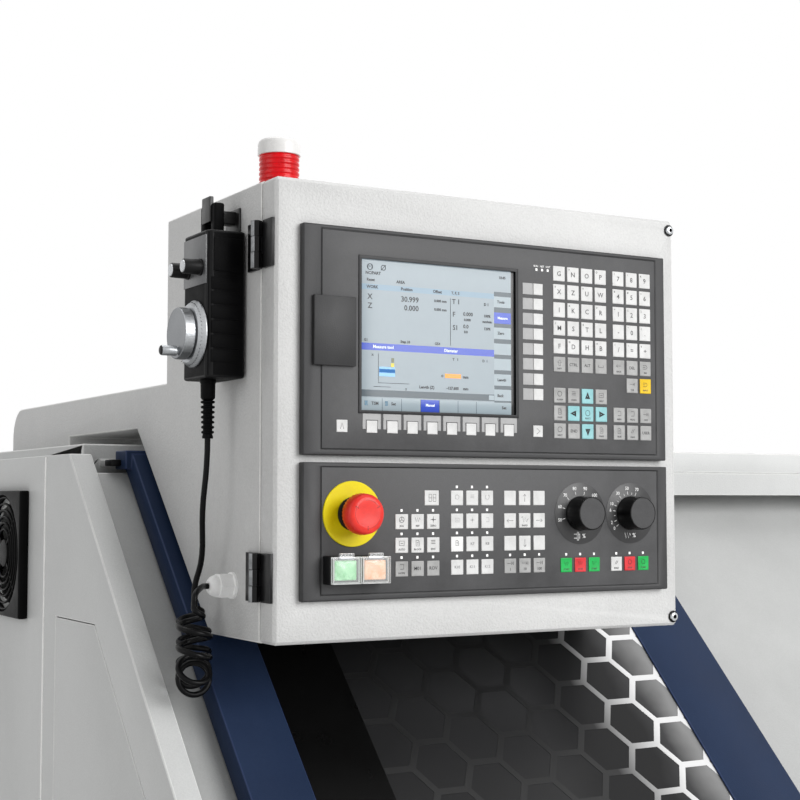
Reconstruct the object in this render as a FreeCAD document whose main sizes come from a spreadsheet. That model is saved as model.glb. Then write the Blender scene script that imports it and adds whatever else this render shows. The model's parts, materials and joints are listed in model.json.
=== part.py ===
import FreeCAD, Part
import math
import os
import re

import Sketcher

# A small flat-bed CNC turning lathe, in millimetres. The floor is z = 0, X runs along the spindle to the
# right, Y runs from the operator into the machine, and the origin is the centre of the floor anchors.

Vector = FreeCAD.Vector
document = FreeCAD.newDocument("TurningLathe")
sheet = document.addObject("Spreadsheet::Sheet", "Sizes")

SIZES = {
    # enclosure
    "machine_width": 1900,
    "front_depth": 500,
    "rear_depth": 500,
    "housing_top": 1529,
    "roof_top": "=housing_top + 12",
    "lip_rise": "=housing_top + 91",        # height of the 45 degree lip plane where it crosses y = 0
    "panel_setback": 24,     # how much lower the fixed sloping panel lies than the lip
    "rim_width": 25,
    "sheet_gauge": 3,
    "panel_top": "=housing_top - 20",
    "roof_edge": 60,
    # base
    "base_height": 640,
    "base_width": "=machine_width - 40",
    "base_front": "=front_depth - 70",
    "base_rear": "=rear_depth - 60",
    "tray_depth": 70,
    "tray_wall": 12,
    "foot_height": 20,
    "foot_length": 150,
    "foot_width": 120,
    "anchor_spacing_x": "=base_width - 160",
    "anchor_spacing_y": "=base_front + base_rear - 150",
    "anchor_radius": 9,
    # bed and headstock
    "way_height": 900,
    "centre_height": 185,
    "axis_height": "=way_height + centre_height",
    "bed_half_width": 150,
    "bed_left": "=170 - machine_width / 2",
    "bed_right": "=machine_width / 2 - 250",
    "vee_height": 12,
    "vee_centre": "=bed_half_width - 35",
    "head_left": "=160 - machine_width / 2",
    "head_right": "=head_left + 150",
    "head_half_width": 125,
    "head_top": "=axis_height + 140",
    "spindle_radius": 42,
    "spindle_bore": 21,
    "nose_radius": 70,
    "nose_length": 26,
    "running_gap": 0.05,
    "seat_gap": 0.3,
    # belt drive
    "pulley_left": "=65 - machine_width / 2",
    "pulley_width": 46,
    "pulley_radius": 72,
    "drive_radius": 45,
    "belt_thickness": 8,
    "motor_y": "=rear_depth - 210",
    "motor_z": "=base_height + 150",
    "motor_left": "=head_left",
    "motor_length": 180,
    "motor_half": 85,
    "motor_shaft": 14,
    # chuck
    "chuck_radius": 90,
    "chuck_length": 56,
    "chuck_bore": 24,
    "jaw_width": 20,
    "jaw_inner": 30,
    "jaw_outer": 84,
    "jaw_step": 58,
    "jaw_reach": 30,
    "slot_depth": 14,
    # carriage, cross slide and turret
    "saddle_left": "=520 - machine_width / 2",
    "saddle_length": 210,
    "saddle_height": 55,
    "saddle_half_width": "=bed_half_width + 20",
    "apron_bottom": "=way_height - 158",
    "screw_radius": 12,
    "screw_y": "=16 - bed_half_width",
    "screw_z": "=way_height - 116",
    "screw_left": "=bed_left + 220",
    "screw_right": "=bed_right - 60",
    "slide_front": -215,
    "slide_rear": 120,
    "slide_width": 150,
    "slide_height": 34,
    "dovetail_width": 96,
    "dovetail_height": 14,
    "turret_y": -140,
    "turret_side": 116,
    "turret_height": "=centre_height - saddle_height - slide_height - post_height - 2 * seat_gap - tool_proud",
    "post_radius": 36,
    "post_height": 12,
    "tool_side": 20,
    "tool_proud": 5.4,
    "tool_overhang": 28,
    # tailstock
    "tail_left": "=machine_width / 2 - 710",
    "tail_length": 190,
    "tail_half_width": "=bed_half_width - 66",
    "tail_top": "=axis_height + 57",
    "quill_radius": 30,
    "quill_out": 60,
    "centre_length": 46,
    # sliding door
    "door_left": "=64 - machine_width / 2",
    "door_width": 614,
    "door_front_rise": 17,    # how much higher the face of the door lies than the lip plane
    "door_depth": 26,
    "door_gap": 3,
    "door_top": "=panel_top + 24",
    "door_bottom": "=opening_bottom - 37",
    "opening_left": "=door_left + 46",
    "opening_right": "=door_left + door_width - 48",
    "opening_bottom": "=way_height + 5",
    "opening_top": "=panel_top - 43",
    "window_left": "=door_left + 62",
    "window_right": "=door_left + door_width - 89",
    "window_bottom": "=door_top - 383",
    "window_top": "=door_top - 103",
    "glass_thickness": 6,
    "glass_lap": 10,
    "handle_x": "=door_left + door_width - 53",
    "handle_bottom": "=door_bottom + 62",
    "handle_top": "=handle_bottom + 150",
    "handle_radius": 8,
    "handle_reach": 42,
    # roof hood over the top of the door
    "hood_left": "=door_left + door_width - 208",
    "hood_front": "=roof_edge + 105",
    "hood_bottom": "=roof_top - 55",
    "hood_fold": "=roof_top - 26",
    # left end: access door and cooling fan
    "access_rear": -52,
    "access_front": "=70 - front_depth",
    "access_top": "=housing_top - 174.4",
    "access_bottom": "=base_height + 60",
    "access_rise": "=lip_rise - 86.4",
    "access_gap": 0.8,
    "fan_y": "=rear_depth - 374",
    "fan_z": "=housing_top - 111.5",
    "fan_side": 146,
    "fan_proud": 11,
    "fan_radius": "=fan_side / 2 - 11",
    "fan_hub": 21,
    # electric cabinet
    "cabinet_left": "=390 - machine_width / 2",
    "cabinet_right": "=cabinet_left + 820",
    "cabinet_bottom": "=base_height + 60",
    "cabinet_top": "=roof_top - 61",
    "cabinet_front": "=rear_depth - 165",
    "cabinet_rim": 30,
    "cabinet_lap": 18,
    "cabinet_door_depth": 18,
    # console: cabinet on an arm, with its hinged door
    "console_left": "=75.1 - machine_width / 2",
    "console_width": 459.4,
    "console_bottom": "=roof_top - 190",
    "console_height": 420.6,
    "console_back": -177.6,
    "console_seam": -413.5,
    "console_front": "=console_seam - 28.5",
    "console_gauge": 2.5,
    "console_gap": 0.5,
    "console_edge": 3,
    "gusset_rise": "=lip_rise + 28.5",
    "arm_width": 140,
    "arm_top": "=roof_top + 60",
    "arm_clear": 16,
    "arm_foot": 145,
    "arm_end": "=rear_depth - 110",
    "arm_round": 38,
    "hinge_pin": 2.5,
    "hinge_barrel": 5.5,
    "hinge_x": 6.2,
    "hinge_height": 44,
    "hinge_upper": "=console_bottom + 339",
    "hinge_lower": "=console_bottom + 37",
    "leaf_gauge": 3,
    "leaf_width": 26,
    "screw_inset_x": 6,
    "screw_inset_top": 10.4,
    "screw_inset_bottom": 9,
    "screw_head": 4.3,
    "screw_shank": 2.4,
    # operator panel (above) and machine control panel (below)
    "panel_left": "=console_left + 23.9",
    "panel_width": 416,
    "panel_proud": 8,
    "operator_top": "=console_bottom + console_height - 41.6",
    "operator_height": 210,
    "control_top": "=operator_top - 216.3",
    "control_height": 124.8,
    "field_left": 18.6,
    "field_right": 12,
    "field_top": 3.8,
    "field_bottom": 5.6,
    "field_depth": 1.2,
    "foil": 1,
    "key_width": 14.2,
    "key_height": 14.8,
    "key_proud": 0.8,
    "key_pitch_x": 17.04,
    "key_pitch_z": 18.05,
    # key places: across from the panel's left edge, and down from its top edge
    "letters_x": 282.1,
    "digits_x": 355.7,
    "letters_z": 26.1,
    "input_z": 134.3,
    "cursor_z": 147,
    "modes_z": 164.6,
    "side_keys_x": 256.7,
    "side_keys_z": 43.6,
    "side_pitch": 14.8,
    "low_keys_x": 221.6,
    "low_keys_z": 183.2,
    "low_pitch": 21.6,
    "recall_x": 39.4,
    "forward_x": 255.8,
    "small_key": 11.2,
    "control_key_width": 13.5,
    "control_key_height": 14,
    "control_pitch_x": 17,
    "control_pitch_z": 21.7,
    "mode_keys_x": 101.9,
    "mode_keys_z": 54,
    "function_keys_x": 162.2,
    "axis_keys_x": 222.4,
    "control_keys_z": 32,
    "spindle_keys_x": 288.8,
    "feed_keys_x": 350.6,
    "start_keys_z": 97.7,
    "display_x": 134.3,
    "screen_left": 61.4,
    "screen_width": 167.4,
    "screen_top": 29.7,
    "screen_height": 136.7,
    "screen_lap": 2.4,
    "screen_depth": 5,
    "housing_margin": 12,
    "housing_depth": 42,
    "flap_left": 9.2,
    "flap_width": 43,
    "flap_top": 65.4,
    "flap_height": 63.4,
    "flap_depth": 4,
    "socket_margin": 6,
    "socket_depth": 6,
    "estop_x": 49.9,
    "estop_z": 46.6,
    "estop_plate": 29.7,
    "estop_neck": 13,
    "estop_head": 18.8,
    "estop_head_depth": 17,
    "estop_stand": 14,
    "estop_travel": 4,
    "button_left": 20.6,
    "button_width": 30,
    "button_top": 84,
    "button_height": 25.6,
    "button_frame": 3.6,
    "button_stand": 14,
    "button_travel": 3,
    "guard_wall": 1.2,
    "guard_depth": 5,
    "lens_proud": 2.2,
    "knob_first": 305.9,
    "knob_pitch": 62.9,
    "knob_z": 47.2,
    "knob_radius": 16.4,
    "knob_depth": 21,
    "knob_skirt": 17,
    # signal lamp
    "lamp_x": "=console_left + 79.9",
    "lamp_y": "=console_seam + 133.5",
    "lamp_radius": 20.5,
    "lamp_cap_radius": 22,
    "lamp_base": 12,
    "lamp_lens": 46,
    "lamp_cap": 17,
    # hand-held pulse generator
    "pendant_y": "=console_seam + 62.5",
    "pendant_width": 60,
    "pendant_bottom": "=console_bottom + 241",
    "pendant_height": 137,
    "pendant_back": "=console_left - 2.1",
    "pendant_depth": 38,
    "pendant_edge": 4,
    "bail_height": 29,
    "bail_width": 30,
    "bail_gauge": 6,
    "hook_rise": 17,
    "wheel_z": "=pendant_bottom + 42",
    "wheel_radius": 24.2,
    "ring_radius": 31.5,
    "wheel_depth": 18.5,
    "crank_offset": 17,
    "crank_radius": 4.8,
    "crank_depth": 17.5,
    "selector_z": "=pendant_bottom + 103",
    "selector_spread": 15,
    "selector_radius": 8,
    "selector_depth": 19,
    "relief_x": "=pendant_back - 24",
    "relief_length": 55,
    "relief_top": 7.6,
    "relief_bottom": 5.6,
    "cord_diameter": 5.6,
    # cable gland and curly cord
    "gland_y": "=pendant_y - 1",
    "gland_z": "=console_bottom + 49",
    "gland_nut": 13,
    "gland_body": 11,
    "gland_dome": 9.5,
    "gland_length": 25,
    "curl_radius": 14.5,
    "curl_count": 9,
    "curl_bend": 28,
    "curl_drop": 42,
}

for row, name in enumerate(SIZES, start=1):
    sheet.set(f"A{row}", name)
    sheet.setAlias(f"B{row}", name)
for row, size in enumerate(SIZES.values(), start=1):
    sheet.set(f"B{row}", str(size))
document.recompute()

DIRECTION = {"x": Vector(1, 0, 0), "y": Vector(0, 1, 0), "z": Vector(0, 0, 1)}


def formula(text):
    """The text with each plain word pointed at its cell of the sheet; functions such as sqrt( stay."""
    return re.sub(r"\b[a-z]\w*\b(?!\()", lambda word: "Sizes." + word.group(0), text)


def value(text):
    """The number that a formula of the sheet's words gives now."""
    return float(sheet.evalExpression(formula(text)))


def tie(thing, **formulas):
    """Bind properties of an object to formulas; a double underscore stands for a dot."""
    for path, text in formulas.items():
        thing.setExpression(path.replace("__", "."), formula(text))


def block(name, x, y, z):
    """A rectangular block between two planes along each axis."""
    thing = document.addObject("Part::Box", name)
    thing.Label = name
    tie(thing, Length=f"({x[1]}) - ({x[0]})", Width=f"({y[1]}) - ({y[0]})", Height=f"({z[1]}) - ({z[0]})")
    tie(thing, Placement__Base__x=x[0], Placement__Base__y=y[0], Placement__Base__z=z[0])
    return thing


def turned(thing, axis, x, y, z):
    """Stand a primitive on the point x, y, z with its own Z along the named axis."""
    thing.Placement.Rotation = FreeCAD.Rotation(DIRECTION["z"], DIRECTION[axis])
    tie(thing, Placement__Base__x=x, Placement__Base__y=y, Placement__Base__z=z)
    return thing


def rod(name, axis, start, length, radius):
    """A round bar from the start point along the named axis."""
    thing = document.addObject("Part::Cylinder", name)
    thing.Label = name
    tie(thing, Radius=radius, Height=length)
    return turned(thing, axis, *start)


def prism(name, axis, start, length, radius, sides):
    """A bar of regular section with flats, by the radius over its corners."""
    thing = document.addObject("Part::Prism", name)
    thing.Label = name
    thing.Polygon = sides
    tie(thing, Circumradius=radius, Height=length)
    return turned(thing, axis, *start)


def taper(name, axis, start, length, radius_start, radius_end, sides):
    """A bar with flats that narrows from the start point: what square wedges turned about it share."""
    flat = f"cos(180 / {sides})"
    wedges = []
    for i in range(sides // 4):
        wedge = document.addObject("Part::Wedge", name + "_wedge")
        near, far = f"({radius_start}) * {flat}", f"({radius_end}) * {flat}"
        tie(wedge, Xmin=f"-{near}", Xmax=near, Zmin=f"-{near}", Zmax=near, Ymin="0", Ymax=length)
        tie(wedge, X2min=f"-{far}", X2max=far, Z2min=f"-{far}", Z2max=far)
        stand = FreeCAD.Rotation(DIRECTION["y"], DIRECTION[axis])
        wedge.Placement.Rotation = stand * FreeCAD.Rotation(DIRECTION["y"], 360 / sides * i)
        tie(wedge, Placement__Base__x=start[0], Placement__Base__y=start[1], Placement__Base__z=start[2])
        wedges.append(wedge)
    thing = document.addObject("Part::MultiCommon", name)
    thing.Label = name
    thing.Shapes = wedges
    return thing


def joined(label, shapes):
    """One piece welded, cast or moulded from the shapes."""
    thing = document.addObject("Part::MultiFuse", label)
    thing.Label = label
    thing.Shapes = shapes
    thing.Refine = True
    return thing


def cut(label, base, tools):
    """The base with the tools taken away."""
    tool = tools[0] if len(tools) == 1 else joined(label + "_cutters", tools)
    thing = document.addObject("Part::Cut", label)
    thing.Label = label
    thing.Base = base
    thing.Tool = tool
    thing.Refine = True
    return thing


def body(label):
    thing = document.addObject("PartDesign::Body", label)
    thing.Label = label
    return thing


def profile(owner, plane, corners, start):
    """A closed sketch on an origin plane, each corner held by two formulas, moved to its start plane."""
    sketch = owner.newObject("Sketcher::SketchObject", owner.Name + "_sketch")
    origin_plane = next(f for f in owner.Origin.OriginFeatures if f.Role == plane + "_Plane")
    sketch.AttachmentSupport = [(origin_plane, "")]
    sketch.MapMode = "FlatFace"
    tie(sketch, AttachmentOffset__Base__z=start)
    points = [Vector(value(across), value(up), 0) for across, up in corners]
    count = len(points)
    for i in range(count):
        sketch.addGeometry(Part.LineSegment(points[i], points[(i + 1) % count]), False)
    for i in range(count):
        sketch.addConstraint(Sketcher.Constraint("Coincident", i, 2, (i + 1) % count, 1))
    for i, (across, up) in enumerate(corners):
        for kind, text in (("DistanceX", across), ("DistanceY", up)):
            index = sketch.addConstraint(Sketcher.Constraint(kind, -1, 1, i, 1, value(text)))
            sketch.setExpression(f"Constraints[{index}]", formula(text))
    return sketch


def pad(owner, plane, corners, start, length):
    feature = owner.newObject("PartDesign::Pad", owner.Name + "_pad")
    feature.Profile = profile(owner, plane, corners, start)
    tie(feature, Length=length)
    owner.Tip = feature
    return feature


def pocket(owner, plane, corners, start, length):
    """Cut a profile away from its start plane, in the direction of the plane's normal."""
    feature = owner.newObject("PartDesign::Pocket", owner.Name + "_pocket")
    feature.Profile = profile(owner, plane, corners, start)
    feature.Reversed = True
    tie(feature, Length=length)
    owner.Tip = feature
    return feature


def extrusion(label, plane, corners, start, length):
    owner = body(label)
    pad(owner, plane, corners, start, length)
    return owner


def feature(label, shape):
    """Keep a shape worked out in code under its own name."""
    thing = document.addObject("Part::Feature", label)
    thing.Label = label
    thing.Shape = shape
    return thing


NODES = []


def node(thing):
    """Keep an object as one of the finished pieces."""
    NODES.append(thing)
    return thing


# Welded base: a closed pedestal with a chip tray in its top and four anchor feet under its corners.
HALF_WIDTH = "machine_width / 2"
HALF_BASE = "base_width / 2"


def anchor_holes():
    holes = []
    for x_sign in ("-", ""):
        for y_sign in ("-", ""):
            start = (f"{x_sign}anchor_spacing_x / 2", f"{y_sign}anchor_spacing_y / 2", "-1")
            holes.append(rod("anchor_hole", "z", start, "foot_height + 1", "anchor_radius"))
    return holes


def anchor_feet():
    feet = []
    for x in (
        (f"-{HALF_BASE}", f"-{HALF_BASE} + foot_length"),
        (f"{HALF_BASE} - foot_length", HALF_BASE),
    ):
        for y in (("-base_front", "foot_width - base_front"), ("base_rear - foot_width", "base_rear")):
            feet.append(block("anchor_foot", x, y, ("0", "foot_height")))
    return feet


base_box = block(
    "base_box",
    (f"-{HALF_BASE}", HALF_BASE),
    ("-base_front", "base_rear"),
    ("foot_height", "base_height"),
)
tray = block(
    "chip_tray",
    (f"tray_wall - {HALF_BASE}", f"{HALF_BASE} - tray_wall"),
    ("tray_wall - base_front", "base_rear - tray_wall"),
    ("base_height - tray_depth", "base_height + 1"),
)
base_shell = cut("base_shell", base_box, [tray])
node(cut("base_frame", joined("base_on_feet", [base_shell] + anchor_feet()), anchor_holes()))

# Cast bed: two ways on a box section, an inverted vee on the front way, and the bearings of the feed screw.
TRAY_FLOOR = "base_height - tray_depth"
VEE = "vee_centre"


def bed_section():
    return [
        ("-bed_half_width", TRAY_FLOOR),
        ("bed_half_width", TRAY_FLOOR),
        ("bed_half_width", f"{TRAY_FLOOR} + 40"),
        ("bed_half_width - 42", f"{TRAY_FLOOR} + 70"),
        ("bed_half_width - 42", "way_height - 50"),
        ("bed_half_width", "way_height - 30"),
        ("bed_half_width", "way_height"),
        ("bed_half_width - 90", "way_height"),
        ("bed_half_width - 90", "way_height - 40"),
        ("90 - bed_half_width", "way_height - 40"),
        ("90 - bed_half_width", "way_height"),
        (f"vee_height - {VEE}", "way_height"),
        (f"-{VEE}", "way_height + vee_height"),
        (f"-{VEE} - vee_height", "way_height"),
        ("-bed_half_width", "way_height"),
        ("-bed_half_width", "way_height - 30"),
        ("42 - bed_half_width", "way_height - 50"),
        ("42 - bed_half_width", f"{TRAY_FLOOR} + 70"),
        ("-bed_half_width", f"{TRAY_FLOOR} + 40"),
    ]


bed_casting = extrusion("bed_casting", "YZ", bed_section(), "bed_left", "bed_right - bed_left")
BEARING_Y = ("screw_y - 20", "45 - bed_half_width")
BEARING_Z = ("screw_z - 24", "screw_z + 24")
screw_bearings = [
    block("left_bearing", ("screw_left", "screw_left + 30"), BEARING_Y, BEARING_Z),
    block("right_bearing", ("screw_right - 30", "screw_right"), BEARING_Y, BEARING_Z),
]
screw_way = rod(
    "screw_way",
    "x",
    ("screw_left - 1", "screw_y", "screw_z"),
    "screw_right - screw_left + 2",
    "screw_radius + running_gap",
)
node(cut("bed", joined("bed_with_bearings", [bed_casting] + screw_bearings), [screw_way]))


def on_ways(half_width, top, shoulder):
    """Section of a casting that sits on the ways: a vee groove over the front way, sloped shoulders."""
    return [
        (f"-{half_width}", "way_height + seat_gap"),
        (f"-{VEE} - vee_height - seat_gap", "way_height + seat_gap"),
        (f"-{VEE}", "way_height + vee_height + 2 * seat_gap"),
        (f"vee_height + seat_gap - {VEE}", "way_height + seat_gap"),
        (half_width, "way_height + seat_gap"),
        (half_width, f"{top} - {shoulder}"),
        (f"{half_width} - {shoulder}", top),
        (f"{shoulder} - {half_width}", top),
        (f"-{half_width}", f"{top} - {shoulder}"),
    ]


# Headstock casting, bored for the spindle.
head_casting = extrusion(
    "head_casting",
    "YZ",
    on_ways("(head_half_width + 20)", "head_top", "45"),
    "head_left",
    "head_right - head_left",
)
head_bore = rod(
    "head_bore",
    "x",
    ("head_left - 1", "0", "axis_height"),
    "head_right - head_left + 2",
    "spindle_radius + running_gap",
)
node(cut("headstock", head_casting, [head_bore]))

# Spindle: hollow shaft with a flanged nose, and its keyed belt pulley.
SPINDLE_END = "head_right + seat_gap + nose_length"
spindle_solid = joined(
    "spindle_solid",
    [
        rod(
            "spindle_shaft",
            "x",
            ("pulley_left", "0", "axis_height"),
            f"{SPINDLE_END} - pulley_left",
            "spindle_radius",
        ),
        prism(
            "spindle_nose",
            "x",
            ("head_right + seat_gap", "0", "axis_height"),
            "nose_length",
            "nose_radius",
            20,
        ),
        prism(
            "spindle_pulley",
            "x",
            ("pulley_left", "0", "axis_height"),
            "pulley_width",
            "pulley_radius",
            20,
        ),
    ],
)
spindle_hole = prism(
    "spindle_hole",
    "x",
    ("pulley_left - 1", "0", "axis_height"),
    f"{SPINDLE_END} - pulley_left + 2",
    "spindle_bore",
    16,
)
node(cut("spindle", spindle_solid, [spindle_hole]))

# Three-jaw chuck: a bored body with radial ways, and stepped jaws at 120 degrees.
CHUCK_FACE = f"{SPINDLE_END} + chuck_length"
JAWS = 3


def around_axis(thing, turn):
    """Turn a piece modelled on the X axis about it and lift it to the spindle axis."""
    thing.Placement.Rotation = FreeCAD.Rotation(DIRECTION["x"], turn)
    tie(thing, Placement__Base__z="axis_height")
    return thing


chuck_solid = prism(
    "chuck_solid",
    "x",
    (SPINDLE_END, "0", "axis_height"),
    "chuck_length",
    "chuck_radius",
    24,
)
chuck_hole = prism(
    "chuck_hole",
    "x",
    (f"{SPINDLE_END} - 1", "0", "axis_height"),
    "chuck_length + 2",
    "chuck_bore",
    16,
)
jaw_ways = []
for i in range(JAWS):
    way = block(
        "jaw_way_cut",
        (f"{CHUCK_FACE} - slot_depth - running_gap", f"{CHUCK_FACE} + 1"),
        ("-jaw_width / 2 - running_gap", "jaw_width / 2 + running_gap"),
        ("0", "chuck_radius + 10"),
    )
    jaw_ways.append(around_axis(joined(f"jaw_way_{i + 1}", [way, block(
        "jaw_way_root",
        (f"{CHUCK_FACE} - slot_depth - running_gap", f"{CHUCK_FACE} + 1"),
        ("-jaw_width / 2 - running_gap", "jaw_width / 2 + running_gap"),
        ("0", "chuck_bore"),
    )]), 360 / JAWS * i))
node(cut("chuck_body", chuck_solid, [chuck_hole] + jaw_ways))
for i in range(JAWS):
    across = ("-jaw_width / 2", "jaw_width / 2")
    foot = block(
        "jaw_foot",
        (f"{CHUCK_FACE} - slot_depth", f"{CHUCK_FACE} + 8"),
        across,
        ("jaw_inner", "jaw_outer"),
    )
    step = block(
        "jaw_step_block",
        (f"{CHUCK_FACE} + 8", f"{CHUCK_FACE} + jaw_reach"),
        across,
        ("jaw_inner", "jaw_step"),
    )
    node(around_axis(joined(f"chuck_jaw_{i + 1}", [foot, step]), 360 / JAWS * i))

# Spindle motor on its foot behind the headstock, with its pulley and the belt.
MOTOR_RIGHT = "motor_left + motor_length"
motor_case = extrusion(
    "motor_case",
    "YZ",
    [
        ("motor_y - motor_half", "motor_z - motor_half + 20"),
        ("motor_y - motor_half + 20", "motor_z - motor_half"),
        ("motor_y + motor_half - 20", "motor_z - motor_half"),
        ("motor_y + motor_half", "motor_z - motor_half + 20"),
        ("motor_y + motor_half", "motor_z + motor_half - 20"),
        ("motor_y + motor_half - 20", "motor_z + motor_half"),
        ("motor_y - motor_half + 20", "motor_z + motor_half"),
        ("motor_y - motor_half", "motor_z + motor_half - 20"),
    ],
    "motor_left",
    "motor_length",
)
motor_foot = block(
    "motor_foot",
    ("motor_left + 15", f"{MOTOR_RIGHT} - 15"),
    ("motor_y - motor_half + 25", "motor_y + motor_half - 25"),
    (TRAY_FLOOR, "motor_z - motor_half + 5"),
)
motor_bore = rod(
    "motor_bore",
    "x",
    ("motor_left - 1", "motor_y", "motor_z"),
    "41",
    "motor_shaft + running_gap",
)
node(cut("spindle_motor", joined("motor_on_foot", [motor_case, motor_foot]), [motor_bore]))
node(joined(
    "motor_pulley",
    [
        prism(
            "drive_pulley",
            "x",
            ("pulley_left", "motor_y", "motor_z"),
            "pulley_width",
            "drive_radius",
            18,
        ),
        rod(
            "drive_shaft",
            "x",
            ("pulley_left", "motor_y", "motor_z"),
            "motor_left - pulley_left + 39",
            "motor_shaft",
        ),
    ],
))


def belt_loop(grow):
    """The outline of a belt round two pulleys: short facets round each pulley and the two runs between."""
    first = Vector(0, 0, value("axis_height"))
    second = Vector(0, value("motor_y"), value("motor_z"))
    big = value("pulley_radius") + grow
    small = value("drive_radius") + grow
    along = second - first
    lean = math.asin((big - small) / along.Length)
    heading = math.atan2(along.z, along.y)
    facets = 12
    corners = []
    for centre, radius, start, sweep in (
        (first, big, heading + math.pi / 2 - lean, math.pi + 2 * lean),
        (second, small, heading - math.pi / 2 + lean, math.pi - 2 * lean),
    ):
        for i in range(facets + 1):
            angle = start + sweep * i / facets
            corners.append(centre + Vector(0, radius * math.cos(angle), radius * math.sin(angle)))
    return Part.Face(Part.makePolygon(corners + [corners[0]]))


belt_gap = value("seat_gap") + 0.4
belt_ring = belt_loop(belt_gap + value("belt_thickness")).cut(belt_loop(belt_gap))
belt = feature("drive_belt", belt_ring.extrude(DIRECTION["x"] * (value("pulley_width") - 8)))
belt.Placement.Base = Vector(value("pulley_left") + 4, 0, 0)
node(belt)

# Left and right end covers: shallow pans of folded sheet with a sloping front edge.
INSIDE_SLOPE = "sheet_gauge * sqrt(2)"


def end_outline(inset, slope_inset):
    """The side of the machine: floor of the pan, back, top, 45 degree front and upright front."""
    return [
        (f"{inset} - front_depth", f"base_height + {inset}"),
        (f"rear_depth - {inset}", f"base_height + {inset}"),
        (f"rear_depth - {inset}", f"housing_top - {inset}"),
        (f"housing_top - {inset} - lip_rise + {slope_inset}", f"housing_top - {inset}"),
        (f"{inset} - front_depth", f"lip_rise - {slope_inset} - front_depth + {inset}"),
    ]


def end_pan(label, start, hollow_start):
    pan = body(label)
    pad(pan, "YZ", end_outline("0", "0"), start, "rim_width")
    pocket(pan, "YZ", end_outline("sheet_gauge", INSIDE_SLOPE), hollow_start, "rim_width - sheet_gauge")
    return pan


left_pan = end_pan("left_pan", f"-{HALF_WIDTH}", f"sheet_gauge - {HALF_WIDTH}")
ACCESS = [
    ("access_rear", "access_bottom"),
    ("access_rear", "access_top"),
    ("access_top - access_rise", "access_top"),
    ("access_front", "access_front + access_rise"),
    ("access_front", "access_bottom"),
]
access_hole = extrusion("access_hole", "YZ", ACCESS, f"-{HALF_WIDTH} - 1", "sheet_gauge + 2")
FAN_SIDES = 10
fan_hole = prism(
    "fan_hole",
    "x",
    (f"-{HALF_WIDTH} - 1", "fan_y", "fan_z"),
    "sheet_gauge + 2",
    "fan_radius",
    FAN_SIDES,
)
node(cut("left_housing", left_pan, [access_hole, fan_hole]))
node(end_pan("right_housing", f"{HALF_WIDTH} - rim_width", f"{HALF_WIDTH} - rim_width"))

ACCESS_SLOPE = "access_gap * sqrt(2)"
access_door = extrusion(
    "access_door",
    "YZ",
    [
        ("access_rear - access_gap", "access_bottom + access_gap"),
        ("access_rear - access_gap", "access_top - access_gap"),
        (f"access_top - access_gap - access_rise + {ACCESS_SLOPE}", "access_top - access_gap"),
        ("access_front + access_gap", f"access_front + access_gap + access_rise - {ACCESS_SLOPE}"),
        ("access_front + access_gap", "access_bottom + access_gap"),
    ],
    f"-{HALF_WIDTH}",
    "sheet_gauge",
)
node(access_door)

# Cooling fan behind its square filter frame with concentric guard rings.
FAN_OUT = f"-{HALF_WIDTH} - fan_proud"


def guard_ring(radius):
    outer = prism("ring_outer", "x", (f"{FAN_OUT} + 2", "fan_y", "fan_z"), "3", radius, FAN_SIDES)
    inner = prism(
        "ring_inner",
        "x",
        (f"{FAN_OUT} + 1", "fan_y", "fan_z"),
        "5",
        f"{radius} - 3",
        FAN_SIDES,
    )
    return cut("guard_ring", outer, [inner])


fan_frame = block(
    "fan_frame",
    (FAN_OUT, f"-{HALF_WIDTH}"),
    ("fan_y - fan_side / 2", "fan_y + fan_side / 2"),
    ("fan_z - fan_side / 2", "fan_z + fan_side / 2"),
)
frame_hole = prism(
    "frame_hole",
    "x",
    (f"{FAN_OUT} - 1", "fan_y", "fan_z"),
    "fan_proud + 2",
    "fan_radius",
    FAN_SIDES,
)
guard_pieces = [cut("square_frame", fan_frame, [frame_hole])]
guard_pieces += [guard_ring("fan_radius * 0.82"), guard_ring("fan_radius * 0.62")]
guard_pieces.append(prism(
    "guard_hub",
    "x",
    (f"{FAN_OUT} + 2", "fan_y", "fan_z"),
    "3",
    "fan_hub + 3",
    FAN_SIDES,
))
for spoke, across in (("y", "z"), ("z", "y")):
    reach = {
        spoke: (f"fan_{spoke} - fan_radius", f"fan_{spoke} + fan_radius"),
        across: (f"fan_{across} - 1.5", f"fan_{across} + 1.5"),
    }
    guard_pieces.append(block(
        "guard_spoke",
        (f"{FAN_OUT} + 4", f"{FAN_OUT} + 7"),
        reach["y"],
        reach["z"],
    ))
FAN_PIN = "4"
guard_pieces.append(rod("fan_pin", "x", (f"{FAN_OUT} + 3", "fan_y", "fan_z"), "fan_proud + 22", FAN_PIN))
node(joined("fan_guard", guard_pieces))

FAN_BLADES = 5
fan_pieces = [prism("rotor_hub", "x", (f"5 - {HALF_WIDTH}", "0", "0"), "22", "fan_hub", 10)]
for i in range(FAN_BLADES):
    blade = block(
        "fan_blade",
        (f"-{HALF_WIDTH} + 12", f"-{HALF_WIDTH} + 16"),
        ("-13", "13"),
        ("fan_hub - 5", "fan_radius - 4"),
    )
    blade_turn = document.addObject("Part::Compound", "blade_turn")
    blade_turn.Links = [blade]
    blade_turn.Placement.Rotation = FreeCAD.Rotation(DIRECTION["x"], 360 / FAN_BLADES * i)
    fan_pieces.append(blade_turn)
rotor_bore = rod("rotor_bore", "x", (f"4 - {HALF_WIDTH}", "0", "0"), "24", f"{FAN_PIN} + running_gap")
rotor = cut("fan_rotor", joined("rotor_blank", fan_pieces), [rotor_bore])
tie(rotor, Placement__Base__y="fan_y", Placement__Base__z="fan_z")
node(rotor)

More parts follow.
